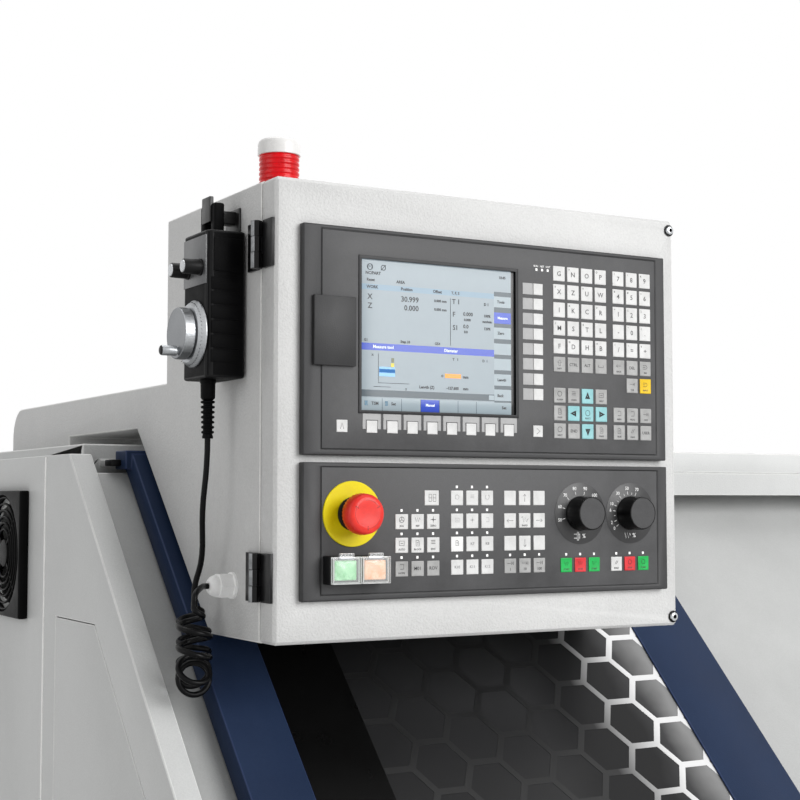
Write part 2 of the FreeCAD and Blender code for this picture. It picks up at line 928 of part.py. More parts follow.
# Front cover: one folded sheet with the door opening, the lower door track and a splash wall inside.
PANEL_RISE = "(lip_rise - panel_setback)"
DOOR_RISE = "(lip_rise + door_front_rise)"
DOOR_SLOPE = "door_depth * sqrt(2)"
DOOR_FACE = f"({PANEL_RISE} - {DOOR_RISE} - front_depth + 24)"
COVER_FACE = "(door_gap + sheet_gauge - front_depth + 6)"
INNER_RISE = f"({PANEL_RISE} - {INSIDE_SLOPE})"
SPAN = (f"rim_width - {HALF_WIDTH}", f"{HALF_WIDTH} - rim_width")
front_sheet = extrusion(
    "front_sheet",
    "YZ",
    [
        ("-roof_edge", "panel_top"),
        (f"panel_top - {PANEL_RISE}", "panel_top"),
        (COVER_FACE, f"{COVER_FACE} + {PANEL_RISE}"),
        (COVER_FACE, "base_height"),
        ("tray_wall - base_front", "base_height"),
        ("tray_wall - base_front", "base_height + sheet_gauge"),
        (f"{COVER_FACE} + sheet_gauge", "base_height + sheet_gauge"),
        (f"{COVER_FACE} + sheet_gauge", f"{COVER_FACE} + sheet_gauge + {INNER_RISE}"),
        (f"panel_top - sheet_gauge - {INNER_RISE}", "panel_top - sheet_gauge"),
        ("-roof_edge", "panel_top - sheet_gauge"),
    ],
    SPAN[0],
    "machine_width - 2 * rim_width",
)
door_opening = block(
    "door_opening",
    ("opening_left", "opening_right"),
    (f"{COVER_FACE} - 50", f"opening_top - {INNER_RISE} + 1"),
    ("opening_bottom", "opening_top"),
)
TRACK_FRONT = f"({COVER_FACE} - door_gap - door_depth - 3)"
TRACK_TOP = "door_bottom - seat_gap"
door_track = block(
    "door_track",
    (SPAN[0], "door_left + 2 * door_width + 20"),
    (TRACK_FRONT, COVER_FACE),
    (f"{TRACK_TOP} - 28", TRACK_TOP),
)
BULKHEAD = "head_left - 13"
WALL_Z = "head_top + 12"
splash_wall = extrusion(
    "splash_wall",
    "YZ",
    [
        (f"{COVER_FACE} + 2", "base_height + 1"),
        (f"{COVER_FACE} + 2", f"{COVER_FACE} + {INNER_RISE} + 1"),
        (f"panel_top - 1 - {INNER_RISE}", "panel_top - 1"),
        ("rear_depth - 4", "panel_top - 1"),
        ("rear_depth - 4", WALL_Z),
        ("-head_half_width - 30", WALL_Z),
        ("-head_half_width - 30", "base_height + 1"),
    ],
    BULKHEAD,
    "sheet_gauge",
)
node(joined("front_cover", [cut("front_opened", front_sheet, [door_opening]), door_track, splash_wall]))

# Roof, hood, back and electric cabinet: one welded canopy with the upper door rail.
ROOF_UNDER = "roof_top - sheet_gauge"
HOOD = ("hood_left", SPAN[1])
canopy_walls = [
    block("roof", SPAN, ("-roof_edge", "rear_depth"), (ROOF_UNDER, "roof_top")),
    block("fascia", SPAN, ("-roof_edge", "sheet_gauge - roof_edge"), ("panel_top", "roof_top")),
    block("hood_roof", HOOD, ("-hood_front", "-roof_edge"), (ROOF_UNDER, "roof_top")),
    block("hood_face", HOOD, ("-hood_front", "sheet_gauge - hood_front"), ("hood_bottom", "roof_top")),
    block("hood_band", HOOD, ("-hood_front - 3", "-hood_front"), ("hood_fold", "roof_top")),
    block(
        "door_rail",
        ("door_left - 19", "door_left + 2 * door_width + 20"),
        ("-roof_edge - 14", "-roof_edge"),
        ("panel_top + 7", "panel_top + 15"),
    ),
    block("back_sheet", SPAN, ("rear_depth - sheet_gauge", "rear_depth"), ("base_height", "roof_top")),
    block(
        "back_foot",
        SPAN,
        ("base_rear - tray_wall", "rear_depth"),
        ("base_height", "base_height + sheet_gauge"),
    ),
    block(
        "left_skirt",
        (SPAN[0], f"{SPAN[0]} + sheet_gauge"),
        ("-roof_edge", "rear_depth"),
        ("panel_top - 9", "roof_top"),
    ),
    block(
        "right_skirt",
        (f"{SPAN[1]} - sheet_gauge", SPAN[1]),
        ("-roof_edge", "rear_depth"),
        ("panel_top - 9", "roof_top"),
    ),
    block(
        "cabinet_box",
        ("cabinet_left", "cabinet_right"),
        ("cabinet_front", "rear_depth"),
        ("cabinet_bottom", "cabinet_top"),
    ),
]
cabinet_hollow = block(
    "cabinet_hollow",
    ("cabinet_left + sheet_gauge", "cabinet_right - sheet_gauge"),
    ("cabinet_front + sheet_gauge", "rear_depth - sheet_gauge"),
    ("cabinet_bottom + sheet_gauge", "cabinet_top - sheet_gauge"),
)
cabinet_mouth = block(
    "cabinet_mouth",
    ("cabinet_left + cabinet_rim", "cabinet_right - cabinet_rim"),
    ("rear_depth - sheet_gauge - 1", "rear_depth + 1"),
    ("cabinet_bottom + cabinet_rim", "cabinet_top - cabinet_rim"),
)
node(cut("canopy", joined("canopy_walls", canopy_walls), [cabinet_hollow, cabinet_mouth]))
cabinet_pan = block(
    "cabinet_pan",
    ("cabinet_left + cabinet_rim - cabinet_lap", "cabinet_right - cabinet_rim + cabinet_lap"),
    ("rear_depth + seat_gap", "rear_depth + seat_gap + cabinet_door_depth"),
    ("cabinet_bottom + cabinet_rim - cabinet_lap", "cabinet_top - cabinet_rim + cabinet_lap"),
)
cabinet_pan_hollow = block(
    "cabinet_pan_hollow",
    ("cabinet_left + cabinet_rim - cabinet_lap + 2", "cabinet_right - cabinet_rim + cabinet_lap - 2"),
    ("rear_depth", "rear_depth + seat_gap + cabinet_door_depth - 2"),
    ("cabinet_bottom + cabinet_rim - cabinet_lap + 2", "cabinet_top - cabinet_rim + cabinet_lap - 2"),
)
node(cut("cabinet_door", cabinet_pan, [cabinet_pan_hollow]))

# Feed screw under the front way.
node(rod(
    "feed_screw",
    "x",
    ("screw_left + 2", "screw_y", "screw_z"),
    "screw_right - screw_left - 4",
    "screw_radius",
))

# Carriage: a saddle on the ways with a dovetail on top, and an apron that carries the screw nut.
SADDLE_TOP = "(way_height + saddle_height)"
SADDLE_RIGHT = "saddle_left + saddle_length"
SLIDE_X = "(saddle_left + saddle_length / 2)"


def dovetail(gap):
    """Half widths and top of the dovetail, grown by a gap for its groove."""
    return (
        f"dovetail_width / 2 - dovetail_height / 2 + {gap}",
        f"dovetail_width / 2 + {gap}",
        f"{SADDLE_TOP} + dovetail_height + {gap}",
    )


def dovetail_section(gap, bottom):
    waist, crown, top = dovetail(gap)
    return [
        (f"{SLIDE_X} - ({waist})", bottom),
        (f"{SLIDE_X} + ({waist})", bottom),
        (f"{SLIDE_X} + ({crown})", top),
        (f"{SLIDE_X} - ({crown})", top),
    ]


saddle = extrusion(
    "saddle",
    "YZ",
    on_ways("saddle_half_width", SADDLE_TOP, "10"),
    "saddle_left",
    "saddle_length",
)
saddle_tail = extrusion(
    "saddle_tail",
    "XZ",
    dovetail_section("0", f"{SADDLE_TOP} - 1"),
    "10 - saddle_half_width",
    "2 * saddle_half_width - 20",
)
apron = block(
    "apron",
    ("saddle_left + 20", f"{SADDLE_RIGHT} - 20"),
    ("-saddle_half_width", "-bed_half_width - 4"),
    ("apron_bottom", "way_height + 8"),
)
nut = block(
    "screw_nut",
    ("saddle_left + 60", f"{SADDLE_RIGHT} - 60"),
    ("-bed_half_width - 5", "screw_y + 18"),
    ("screw_z - 22", "screw_z + 22"),
)
nut_bore = rod(
    "nut_bore",
    "x",
    ("saddle_left", "screw_y", "screw_z"),
    "saddle_length",
    "screw_radius + running_gap",
)
node(cut("carriage", joined("carriage_casting", [saddle, saddle_tail, apron, nut]), [nut_bore]))

# Cross slide with its dovetail groove and the round post that the turret turns on.
SLIDE_BOTTOM = f"{SADDLE_TOP} + seat_gap"
SLIDE_TOP = f"({SADDLE_TOP} + seat_gap + slide_height)"
slide_plate = block(
    "slide_plate",
    (f"{SLIDE_X} - slide_width / 2", f"{SLIDE_X} + slide_width / 2"),
    ("slide_front", "slide_rear"),
    (SLIDE_BOTTOM, SLIDE_TOP),
)
slide_groove = extrusion(
    "slide_groove",
    "XZ",
    dovetail_section("seat_gap", f"{SADDLE_TOP} - 1"),
    "-slide_rear - 1",
    "slide_rear - slide_front + 2",
)
turret_post = prism(
    "turret_post",
    "z",
    (SLIDE_X, "turret_y", f"{SLIDE_TOP} - 1"),
    "post_height + 1",
    "post_radius",
    16,
)
node(joined("cross_slide", [cut("slide_grooved", slide_plate, [slide_groove]), turret_post]))

# Four-station turret with a tool bar clamped in each side; the bars' tops lie at the spindle axis.
TURRET_BOTTOM = f"{SLIDE_TOP} + post_height + seat_gap"
HALF_TURRET = "turret_side / 2"
turret_pieces = [
    block(
        "turret_block",
        (f"{SLIDE_X} - {HALF_TURRET}", f"{SLIDE_X} + {HALF_TURRET}"),
        (f"turret_y - {HALF_TURRET}", f"turret_y + {HALF_TURRET}"),
        (TURRET_BOTTOM, f"{TURRET_BOTTOM} + turret_height"),
    ),
    prism(
        "clamp_lever_boss",
        "z",
        (SLIDE_X, "turret_y", f"{TURRET_BOTTOM} + turret_height"),
        "16",
        "26",
        12,
    ),
]
TOOL_Z = ("axis_height - tool_side", "axis_height")
NEAR = f"{HALF_TURRET} - tool_side - 8"
FAR = f"{HALF_TURRET} - 8"
TIP = f"{HALF_TURRET} + tool_overhang"
turret_pieces += [
    block(
        "tool_bar_rear",
        (f"{SLIDE_X} - ({FAR})", f"{SLIDE_X} - ({NEAR})"),
        ("turret_y", f"turret_y + {TIP}"),
        TOOL_Z,
    ),
    block(
        "tool_bar_front",
        (f"{SLIDE_X} + {NEAR}", f"{SLIDE_X} + {FAR}"),
        (f"turret_y - ({TIP})", "turret_y"),
        TOOL_Z,
    ),
    block(
        "tool_bar_left",
        (f"{SLIDE_X} - ({TIP})", SLIDE_X),
        (f"turret_y - ({FAR})", f"turret_y - ({NEAR})"),
        TOOL_Z,
    ),
    block(
        "tool_bar_right",
        (SLIDE_X, f"{SLIDE_X} + {TIP}"),
        (f"turret_y + {NEAR}", f"turret_y + {FAR}"),
        TOOL_Z,
    ),
]
node(joined("turret", turret_pieces))

# Tailstock with a bored quill and its centre.
TAIL_RIGHT = "tail_left + tail_length"
tail_casting = extrusion(
    "tail_casting",
    "YZ",
    on_ways("(tail_half_width + 61)", "tail_top", "70"),
    "tail_left",
    "tail_length",
)
tail_bore = rod(
    "tail_bore",
    "x",
    ("tail_left - 1", "0", "axis_height"),
    "tail_length - 19",
    "quill_radius + running_gap",
)
node(cut("tailstock", tail_casting, [tail_bore]))
node(joined(
    "tail_quill",
    [
        rod(
            "quill_bar",
            "x",
            ("tail_left - quill_out", "0", "axis_height"),
            "quill_out + tail_length - 40",
            "quill_radius",
        ),
        taper(
            "centre_point",
            "x",
            ("tail_left - quill_out - centre_length", "0", "axis_height"),
            "centre_length",
            "0.6",
            "20",
            12,
        ),
    ],
))

# Sliding door: a folded leaf that follows the front cover, with a hanger bar along its top.
LEAF_FACE = f"({COVER_FACE} - door_gap - door_depth)"
LEAF_BACK = f"({COVER_FACE} - door_gap)"
BACK_RISE = f"({DOOR_RISE} - {DOOR_SLOPE})"


def leaf_outline(inset, rise_inset):
    """The door seen from the side, with its face inset by a sheet where it is hollowed from behind."""
    return [
        (f"door_top - {DOOR_RISE} + {rise_inset}", "door_top"),
        (f"{LEAF_FACE} + {inset}", f"{LEAF_FACE} + {inset} + {DOOR_RISE} - {rise_inset}"),
        (f"{LEAF_FACE} + {inset}", "door_bottom"),
        (LEAF_BACK, "door_bottom"),
        (LEAF_BACK, f"{LEAF_BACK} + {BACK_RISE}"),
        (f"door_top - {BACK_RISE}", "door_top"),
    ]


door_leaf = body("door_leaf")
pad(door_leaf, "YZ", leaf_outline("0", "0"), "door_left", "door_width")
pocket(
    door_leaf,
    "YZ",
    leaf_outline("sheet_gauge", INSIDE_SLOPE),
    "door_left + sheet_gauge",
    "door_width - 2 * sheet_gauge",
)
HANGER_BACK = "(-roof_edge - 14 - seat_gap)"
hanger_bar = block(
    "hanger_bar",
    ("door_left - 7", "door_left + door_width + 7"),
    (f"door_top - {DOOR_RISE} - 4", HANGER_BACK),
    ("panel_top + 4", "door_top"),
)
sill = block(
    "door_sill",
    ("door_left", "door_left + door_width"),
    (LEAF_FACE, LEAF_BACK),
    ("door_bottom", "door_bottom + sheet_gauge"),
)
window_hole = extrusion(
    "window_hole",
    "YZ",
    [
        (f"window_top - {DOOR_RISE} - 6", "window_top + 6"),
        (f"window_bottom - {DOOR_RISE} - 6", "window_bottom + 6"),
        (f"window_bottom - {DOOR_RISE} + 8", "window_bottom - 8"),
        (f"window_top - {DOOR_RISE} + 8", "window_top - 8"),
    ],
    "window_left",
    "window_right - window_left",
)
node(cut("sliding_door", joined("door_folded", [door_leaf, hanger_bar, sill]), [window_hole]))
GLASS_RISE = f"({DOOR_RISE} - {INSIDE_SLOPE})"
GLASS_BACK = f"({GLASS_RISE} - glass_thickness * sqrt(2))"
node(extrusion(
    "door_window",
    "YZ",
    [
        (f"window_top + glass_lap - {GLASS_RISE}", "window_top + glass_lap"),
        (f"window_bottom - glass_lap - {GLASS_RISE}", "window_bottom - glass_lap"),
        (f"window_bottom - glass_lap - {GLASS_BACK}", "window_bottom - glass_lap"),
        (f"window_top + glass_lap - {GLASS_BACK}", "window_top + glass_lap"),
    ],
    "window_left - glass_lap",
    "window_right - window_left + 2 * glass_lap",
))
GRIP_Y = f"({LEAF_FACE} - handle_reach)"
node(joined(
    "door_handle",
    [
        prism(
            "handle_grip",
            "z",
            ("handle_x", GRIP_Y, "handle_bottom"),
            "handle_top - handle_bottom",
            "handle_radius",
            12,
        ),
        prism(
            "lower_leg",
            "y",
            ("handle_x", GRIP_Y, "handle_bottom + handle_radius"),
            "handle_reach",
            "handle_radius",
            12,
        ),
        prism(
            "upper_leg",
            "y",
            ("handle_x", GRIP_Y, "handle_top - handle_radius"),
            "handle_reach",
            "handle_radius",
            12,
        ),
    ],
))

# Console cabinet and its arm: one welded sheet box, open to the front behind the console door.
CONSOLE_RIGHT = "(console_left + console_width)"
CONSOLE_TOP = "(console_bottom + console_height)"
FOLD_INSET = "console_gauge * sqrt(2)"


def console_outline(inset, slope_inset, front):
    return [
        (front, f"console_bottom + {inset}"),
        (f"console_bottom + {inset} - gusset_rise - {slope_inset}", f"console_bottom + {inset}"),
        (f"console_back - {inset}", f"console_back - {inset} + gusset_rise + {slope_inset}"),
        (f"console_back - {inset}", f"{CONSOLE_TOP} - {inset}"),
        (front, f"{CONSOLE_TOP} - {inset}"),
    ]


cabinet_block = extrusion(
    "console_block",
    "YZ",
    console_outline("0", "0", "console_seam"),
    "console_left",
    "console_width",
)
cabinet_space = extrusion(
    "console_space",
    "YZ",
    console_outline("console_gauge", FOLD_INSET, "console_seam - 1"),
    "console_left + console_gauge",
    "console_width - 2 * console_gauge",
)
arm = body("console_arm")
ARM_UNDER = "(roof_top + arm_clear)"
arm_pad = pad(
    arm,
    "YZ",
    [
        ("console_back - 2", "console_back - 2 + gusset_rise"),
        (f"{ARM_UNDER} - gusset_rise", ARM_UNDER),
        ("arm_foot", ARM_UNDER),
        ("arm_foot", "roof_top"),
        ("arm_end", "roof_top"),
        ("arm_end", "arm_top"),
        ("console_back - 2", "arm_top"),
    ],
    "console_left",
    "arm_width",
)
document.recompute()


def edge_at(shape, y, z):
    """The name of the edge along X through the point y, z."""
    for i, edge in enumerate(shape.Edges, start=1):
        middle = edge.CenterOfMass
        if abs(middle.y - y) < 1e-3 and abs(middle.z - z) < 1e-3:
            return f"Edge{i}"


rear_top = edge_at(arm_pad.Shape, value("arm_end"), value("arm_top"))
arm_fillet = arm.newObject("PartDesign::Fillet", "arm_fillet")
arm_fillet.Base = (arm_pad, [rear_top])
tie(arm_fillet, Radius="arm_round")
arm.Tip = arm_fillet
cable_duct = block(
    "cable_duct",
    ("console_left + console_gauge", "console_left + arm_width - console_gauge"),
    ("console_back - 4", "arm_end - arm_round"),
    (f"{ARM_UNDER} + console_gauge", "arm_top - console_gauge"),
)
node(cut("console_shell", joined("console_and_arm", [cabinet_block, arm]), [cabinet_space, cable_duct]))

# Console door: a folded pan with rounded edges, cut out for the two panels.
DOOR_BACK = "(console_seam - console_gap)"
door_pan = body("door_pan")
door_pad = pad(
    door_pan,
    "XZ",
    [
        ("console_left", "console_bottom"),
        (CONSOLE_RIGHT, "console_bottom"),
        (CONSOLE_RIGHT, CONSOLE_TOP),
        ("console_left", CONSOLE_TOP),
    ],
    f"-{DOOR_BACK}",
    f"{DOOR_BACK} - console_front",
)
document.recompute()


def folded_edges(shape):
    """The edges round the face of the pan and its four corner edges."""
    names = []
    for i, edge in enumerate(shape.Edges, start=1):
        middle = edge.CenterOfMass
        along_y = abs(edge.tangentAt(edge.FirstParameter).y) > 0.9
        if along_y or abs(middle.y - value("console_front")) < 1e-3:
            names.append(f"Edge{i}")
    return names


door_fold = door_pan.newObject("PartDesign::Chamfer", "door_fold")
door_fold.Base = (door_pad, folded_edges(door_pad.Shape))
tie(door_fold, Size="console_edge")
door_pan.Tip = door_fold
pan_space = block(
    "pan_space",
    ("console_left + console_gauge", f"{CONSOLE_RIGHT} - console_gauge"),
    ("console_front + console_gauge", f"{DOOR_BACK} + 1"),
    ("console_bottom + console_gauge", f"{CONSOLE_TOP} - console_gauge"),
)
HOUSING_X = ("panel_left + housing_margin", "panel_left + panel_width - housing_margin")


def panel_z(top, height, inset):
    return (f"{top} - {height} + ({inset})", f"{top} - ({inset})")


def panel_cutout(label, top, height):
    return block(
        label,
        ("panel_left + housing_margin - 0.5", "panel_left + panel_width - housing_margin + 0.5"),
        ("console_front - 1", "console_front + console_gauge + 1"),
        panel_z(top, height, "housing_margin - 0.5"),
    )


SCREW_X = f"({CONSOLE_RIGHT} - screw_inset_x)"
SCREW_HEIGHTS = (f"{CONSOLE_TOP} - screw_inset_top", "console_bottom + screw_inset_bottom")
screw_holes = [
    prism(
        "screw_hole",
        "y",
        (SCREW_X, "console_front - 1", z),
        f"{DOOR_BACK} - console_front + 2",
        "screw_shank + running_gap",
        12,
    )
    for z in SCREW_HEIGHTS
]
bosses = [
    prism(
        "screw_boss",
        "y",
        (SCREW_X, "console_front + 1", z),
        f"{DOOR_BACK} - console_front - 1",
        "screw_shank + 1.8",
        6,
    )
    for z in SCREW_HEIGHTS
]
cutouts = [
    panel_cutout("operator_cutout", "operator_top", "operator_height"),
    panel_cutout("control_cutout", "control_top", "control_height"),
]
hollow_door = cut("hollow_door", door_pan, [pan_space] + cutouts)
node(cut("console_door", joined("door_with_bosses", [hollow_door] + bosses), screw_holes))
door_screws = []
for z in SCREW_HEIGHTS:
    head = taper(
        "screw_dome",
        "y",
        (SCREW_X, "console_front - 3.4", z),
        "3.4",
        "screw_head - 1.6",
        "screw_head",
        8,
    )
    socket = prism("screw_socket", "y", (SCREW_X, "console_front - 3.5", z), "2.2", "2.2", 6)
    shank = prism(
        "shank",
        "y",
        (SCREW_X, "console_front - 0.5", z),
        f"{DOOR_BACK} - console_front",
        "screw_shank",
        8,
    )
    door_screws.append(joined("door_screw", [cut("screw_dome_cut", head, [socket]), shank]))
node(joined("door_screws", door_screws))

# Two butt hinges on the left of the console: fixed leaves with their pins, and the leaves on the door.
PIN_X = "(console_left - hinge_x)"
PIN_Y = "(console_seam - console_gap / 2)"
LEAF_X = ("console_left - leaf_gauge", "console_left")
KNUCKLES = 3


def knuckle(bottom, index):
    share = f"hinge_height / {KNUCKLES}"
    start = (PIN_X, PIN_Y, f"{bottom} + {index} * {share} + 0.15")
    return prism("knuckle", "z", start, f"{share} - 0.3", "hinge_barrel", 8)


def web(bottom, index, y):
    share = f"hinge_height / {KNUCKLES}"
    return block(
        "knuckle_web",
        LEAF_X,
        y,
        (f"{bottom} + {index} * {share} + 0.15", f"{bottom} + {index + 1} * {share} - 0.15"),
    )


def leaf(bottom, y):
    return block("hinge_leaf", LEAF_X, y, (bottom, f"{bottom} + hinge_height"))


fixed_leaves = []
door_leaves = []
for bottom in ("hinge_upper", "hinge_lower"):
    fixed = [leaf(bottom, (f"{PIN_Y} + 6", f"{PIN_Y} + leaf_width"))]
    fixed += [knuckle(bottom, i) for i in (0, 2)]
    fixed += [web(bottom, i, (PIN_Y, f"{PIN_Y} + 7")) for i in (0, 2)]
    fixed.append(rod(
        "hinge_pin_bar",
        "z",
        (PIN_X, PIN_Y, f"{bottom} + 1"),
        "hinge_height - 2",
        "hinge_pin",
    ))
    fixed_leaves.append(joined("fixed_leaf", fixed))
    moving = [leaf(bottom, (f"{PIN_Y} - leaf_width", f"{PIN_Y} - 6"))]
    moving += [knuckle(bottom, 1), web(bottom, 1, (f"{PIN_Y} - 7", PIN_Y))]
    pin_hole = rod(
        "pin_hole",
        "z",
        (PIN_X, PIN_Y, f"{bottom} - 1"),
        "hinge_height + 2",
        "hinge_pin + running_gap",
    )
    door_leaves.append(cut("door_leaf_bored", joined("door_leaf_solid", moving), [pin_hole]))
node(joined("hinge_fixed_leaves", fixed_leaves))
node(joined("hinge_door_leaves", door_leaves))

# The two panels: a moulded bezel with a recessed field, a housing behind it, and a foil with raised keys.
PANEL_FACE = "(console_front - panel_proud)"
PANEL_X = ("panel_left", "panel_left + panel_width")
FIELD_X = ("panel_left + field_left", "panel_left + panel_width - field_right")
FOIL_FACE = f"({PANEL_FACE} + field_depth - foil)"


def field_z(top, height):
    return (f"{top} - {height} + field_bottom", f"{top} - field_top")


def panel_blank(label, top, height):
    """Bezel and rear housing, with the field recessed into the bezel's face."""
    bezel = block(label + "_bezel", PANEL_X, (PANEL_FACE, "console_front"), (f"{top} - {height}", top))
    housing = block(
        label + "_housing",
        HOUSING_X,
        ("console_front - 1", "console_front + housing_depth"),
        panel_z(top, height, "housing_margin"),
    )
    field = block(
        label + "_field",
        FIELD_X,
        (f"{PANEL_FACE} - 1", f"{PANEL_FACE} + field_depth"),
        field_z(top, height),
    )
    return joined(label + "_moulding", [bezel, housing]), field


def foil_with_keys(label, top, height, keys, holes):
    """A foil over the whole field whose keys are embossed; each key is its centre and size."""
    front = value(FOIL_FACE)
    proud = value("key_proud")
    thickness = value("foil")
    low, high = value(field_z(top, height)[0]), value(field_z(top, height)[1])
    left, right = value(FIELD_X[0]), value(FIELD_X[1])
    gap = value("running_gap")
    plate = Part.makeBox(
        right - left - 2 * gap,
        thickness,
        high - low - 2 * gap,
        Vector(left + gap, front, low + gap),
    )
    raised = []
    for x, z, width, tall in keys:
        corner = Vector(value("panel_left") + x - width / 2, front - proud, value(top) - z - tall / 2)
        raised.append(Part.makeBox(width, proud + thickness / 2, tall, corner))
    solid = plate.multiFuse(raised).removeSplitter()
    for hole in holes:
        solid = solid.cut(hole)
    return feature(label, solid)


def key_block(start, size, pitch, columns, rows):
    """Centres and sizes of a block of keys; start, size and pitch are pairs of names: across and down."""
    keys = []
    for column in range(columns):
        for row in range(rows):
            x = value(start[0]) + column * value(pitch[0])
            z = value(start[1]) + row * value(pitch[1])
            keys.append((x, z, value(size[0]), value(size[1])))
    return keys


def operator_keys():
    """Letters, digits, cursor block, mode block, and the softkeys beside and below the screen."""
    size = ("key_width", "key_height")
    pitch = ("key_pitch_x", "key_pitch_z")
    small = ("small_key", "small_key")
    keys = key_block(("letters_x", "letters_z"), size, pitch, 4, 6)
    keys += key_block(("digits_x", "letters_z"), size, pitch, 3, 6)
    keys += key_block(("digits_x + key_pitch_x", "input_z"), size, pitch, 2, 1)
    keys += key_block(("letters_x", "cursor_z"), size, pitch, 4, 3)
    keys += key_block(("digits_x", "modes_z"), size, pitch, 3, 2)
    keys += key_block(("side_keys_x", "side_keys_z"), small, ("side_pitch", "side_pitch"), 1, 8)
    keys += key_block(
        ("low_keys_x - 7 * low_pitch", "low_keys_z"),
        small,
        ("low_pitch", "low_pitch"),
        8,
        1,
    )
    keys += key_block(("forward_x", "low_keys_z"), small, small, 1, 1)
    keys += key_block(("recall_x", "low_keys_z"), small, small, 1, 1)
    return keys


SCREEN_X = ("panel_left + screen_left", "panel_left + screen_left + screen_width")
SCREEN_Z = ("operator_top - screen_top - screen_height", "operator_top - screen_top")
FLAP_X = ("panel_left + flap_left", "panel_left + flap_left + flap_width")
FLAP_Z = ("operator_top - flap_top - flap_height", "operator_top - flap_top")


def spread(span, gap):
    """Two planes moved apart by a gap, or together where it is negative."""
    return (f"{span[0]} - ({gap})", f"{span[1]} + ({gap})")


operator_moulding, operator_field = panel_blank("operator", "operator_top", "operator_height")
SCREEN_FACE = f"({FOIL_FACE} + foil)"
screen_seat = block(
    "screen_seat",
    spread(SCREEN_X, "screen_lap"),
    (f"{PANEL_FACE} - 1", f"{SCREEN_FACE} + screen_depth"),
    spread(SCREEN_Z, "screen_lap"),
)
card_socket = block(
    "card_socket",
    (f"{FLAP_X[0]} + socket_margin", f"{FLAP_X[1]} - socket_margin"),
    (f"{PANEL_FACE} - 1", f"{PANEL_FACE} + socket_depth"),
    (f"{FLAP_Z[0]} + socket_margin", f"{FLAP_Z[1]} - socket_margin"),
)
node(cut("operator_panel", operator_moulding, [operator_field, screen_seat, card_socket]))
node(block(
    "display_screen",
    spread(SCREEN_X, "screen_lap - 0.1"),
    (SCREEN_FACE, f"{SCREEN_FACE} + screen_depth"),
    spread(SCREEN_Z, "screen_lap - 0.1"),
))


def span_hole(x, z, grow):
    """A cutter through a foil between two pairs of formulas, grown by a clearance."""
    x0, x1 = value(x[0]) - grow, value(x[1]) + grow
    z0, z1 = value(z[0]) - grow, value(z[1]) + grow
    return Part.makeBox(x1 - x0, 20, z1 - z0, Vector(x0, value(PANEL_FACE) - 5, z0))


node(foil_with_keys(
    "operator_keypad",
    "operator_top",
    "operator_height",
    operator_keys(),
    [span_hole(SCREEN_X, SCREEN_Z, 0), span_hole(FLAP_X, FLAP_Z, value("seat_gap"))],
))
FLAP_BACK = f"({PANEL_FACE} - seat_gap)"
node(block("card_flap", FLAP_X, (f"{FLAP_BACK} - flap_depth", FLAP_BACK), FLAP_Z))


def control_keys():
    """Mode keys, function keys, axis keys and the row of start and stop keys, with the small display."""
    size = ("control_key_width", "control_key_height")
    pitch = ("control_pitch_x", "control_pitch_z")
    keys = key_block(("mode_keys_x", "mode_keys_z"), size, pitch, 3, 3)
    keys += key_block(("function_keys_x", "control_keys_z"), size, pitch, 3, 4)
    keys += key_block(("axis_keys_x", "control_keys_z"), size, pitch, 3, 4)
    keys += key_block(("spindle_keys_x", "start_keys_z"), size, pitch, 3, 1)
    keys += key_block(("feed_keys_x", "start_keys_z"), size, pitch, 3, 1)
    keys += key_block(
        ("display_x", "control_keys_z"),
        ("control_key_width + 2", "control_key_height"),
        pitch,
        1,
        1,
    )
    return keys


ESTOP_X = "(panel_left + estop_x)"
ESTOP_Z = "(control_top - estop_z)"
KNOB_Z = "(control_top - knob_z)"
BUTTON_Z = ("control_top - button_top - button_height", "control_top - button_top")
BUTTONS_X = ("panel_left + button_left", "panel_left + button_left + 2 * button_width")
FOIL_BACK = f"({FOIL_FACE} + foil)"


def knob_x(index):
    return f"(panel_left + knob_first + {index} * knob_pitch)"


control_moulding, control_field = panel_blank("control", "control_top", "control_height")
ESTOP_BORE = "estop_neck - 3"
KNOB_BORE = "3.2"
control_bores = [
    prism(
        "estop_way",
        "y",
        (ESTOP_X, f"{PANEL_FACE} - 1", ESTOP_Z),
        "panel_proud + 22",
        f"{ESTOP_BORE} + seat_gap",
        16,
    ),
    block(
        "button_way",
        spread(BUTTONS_X, "-1.5"),
        (f"{PANEL_FACE} - 1", f"{PANEL_FACE} + 25"),
        spread(BUTTON_Z, "-1.5"),
    ),
]
control_bores += [
    prism("knob_way", "y", (knob_x(i), f"{PANEL_FACE} - 1", KNOB_Z), "18", f"{KNOB_BORE} + 0.3", 12)
    for i in range(2)
]
node(cut("control_panel", control_moulding, [control_field] + control_bores))


def round_hole(x, z, radius, sides):
    """A cutter through a foil, with flats like the part that it lets through."""
    corners = []
    for i in range(sides + 1):
        angle = 2 * math.pi * i / sides
        corners.append(Vector(
            value(x) + radius * math.cos(angle),
            value(PANEL_FACE) - 5,
            value(z) + radius * math.sin(angle),
        ))
    return Part.Face(Part.makePolygon(corners)).extrude(DIRECTION["y"] * 20)


node(foil_with_keys(
    "control_keypad",
    "control_top",
    "control_height",
    control_keys(),
    [
        round_hole(ESTOP_X, ESTOP_Z, value(ESTOP_BORE) + 0.4, 16),
        span_hole(BUTTONS_X, BUTTON_Z, -1.3),
        round_hole(knob_x(0), KNOB_Z, value(KNOB_BORE) + 0.4, 12),
        round_hole(knob_x(1), KNOB_Z, value(KNOB_BORE) + 0.4, 12),
    ],
))

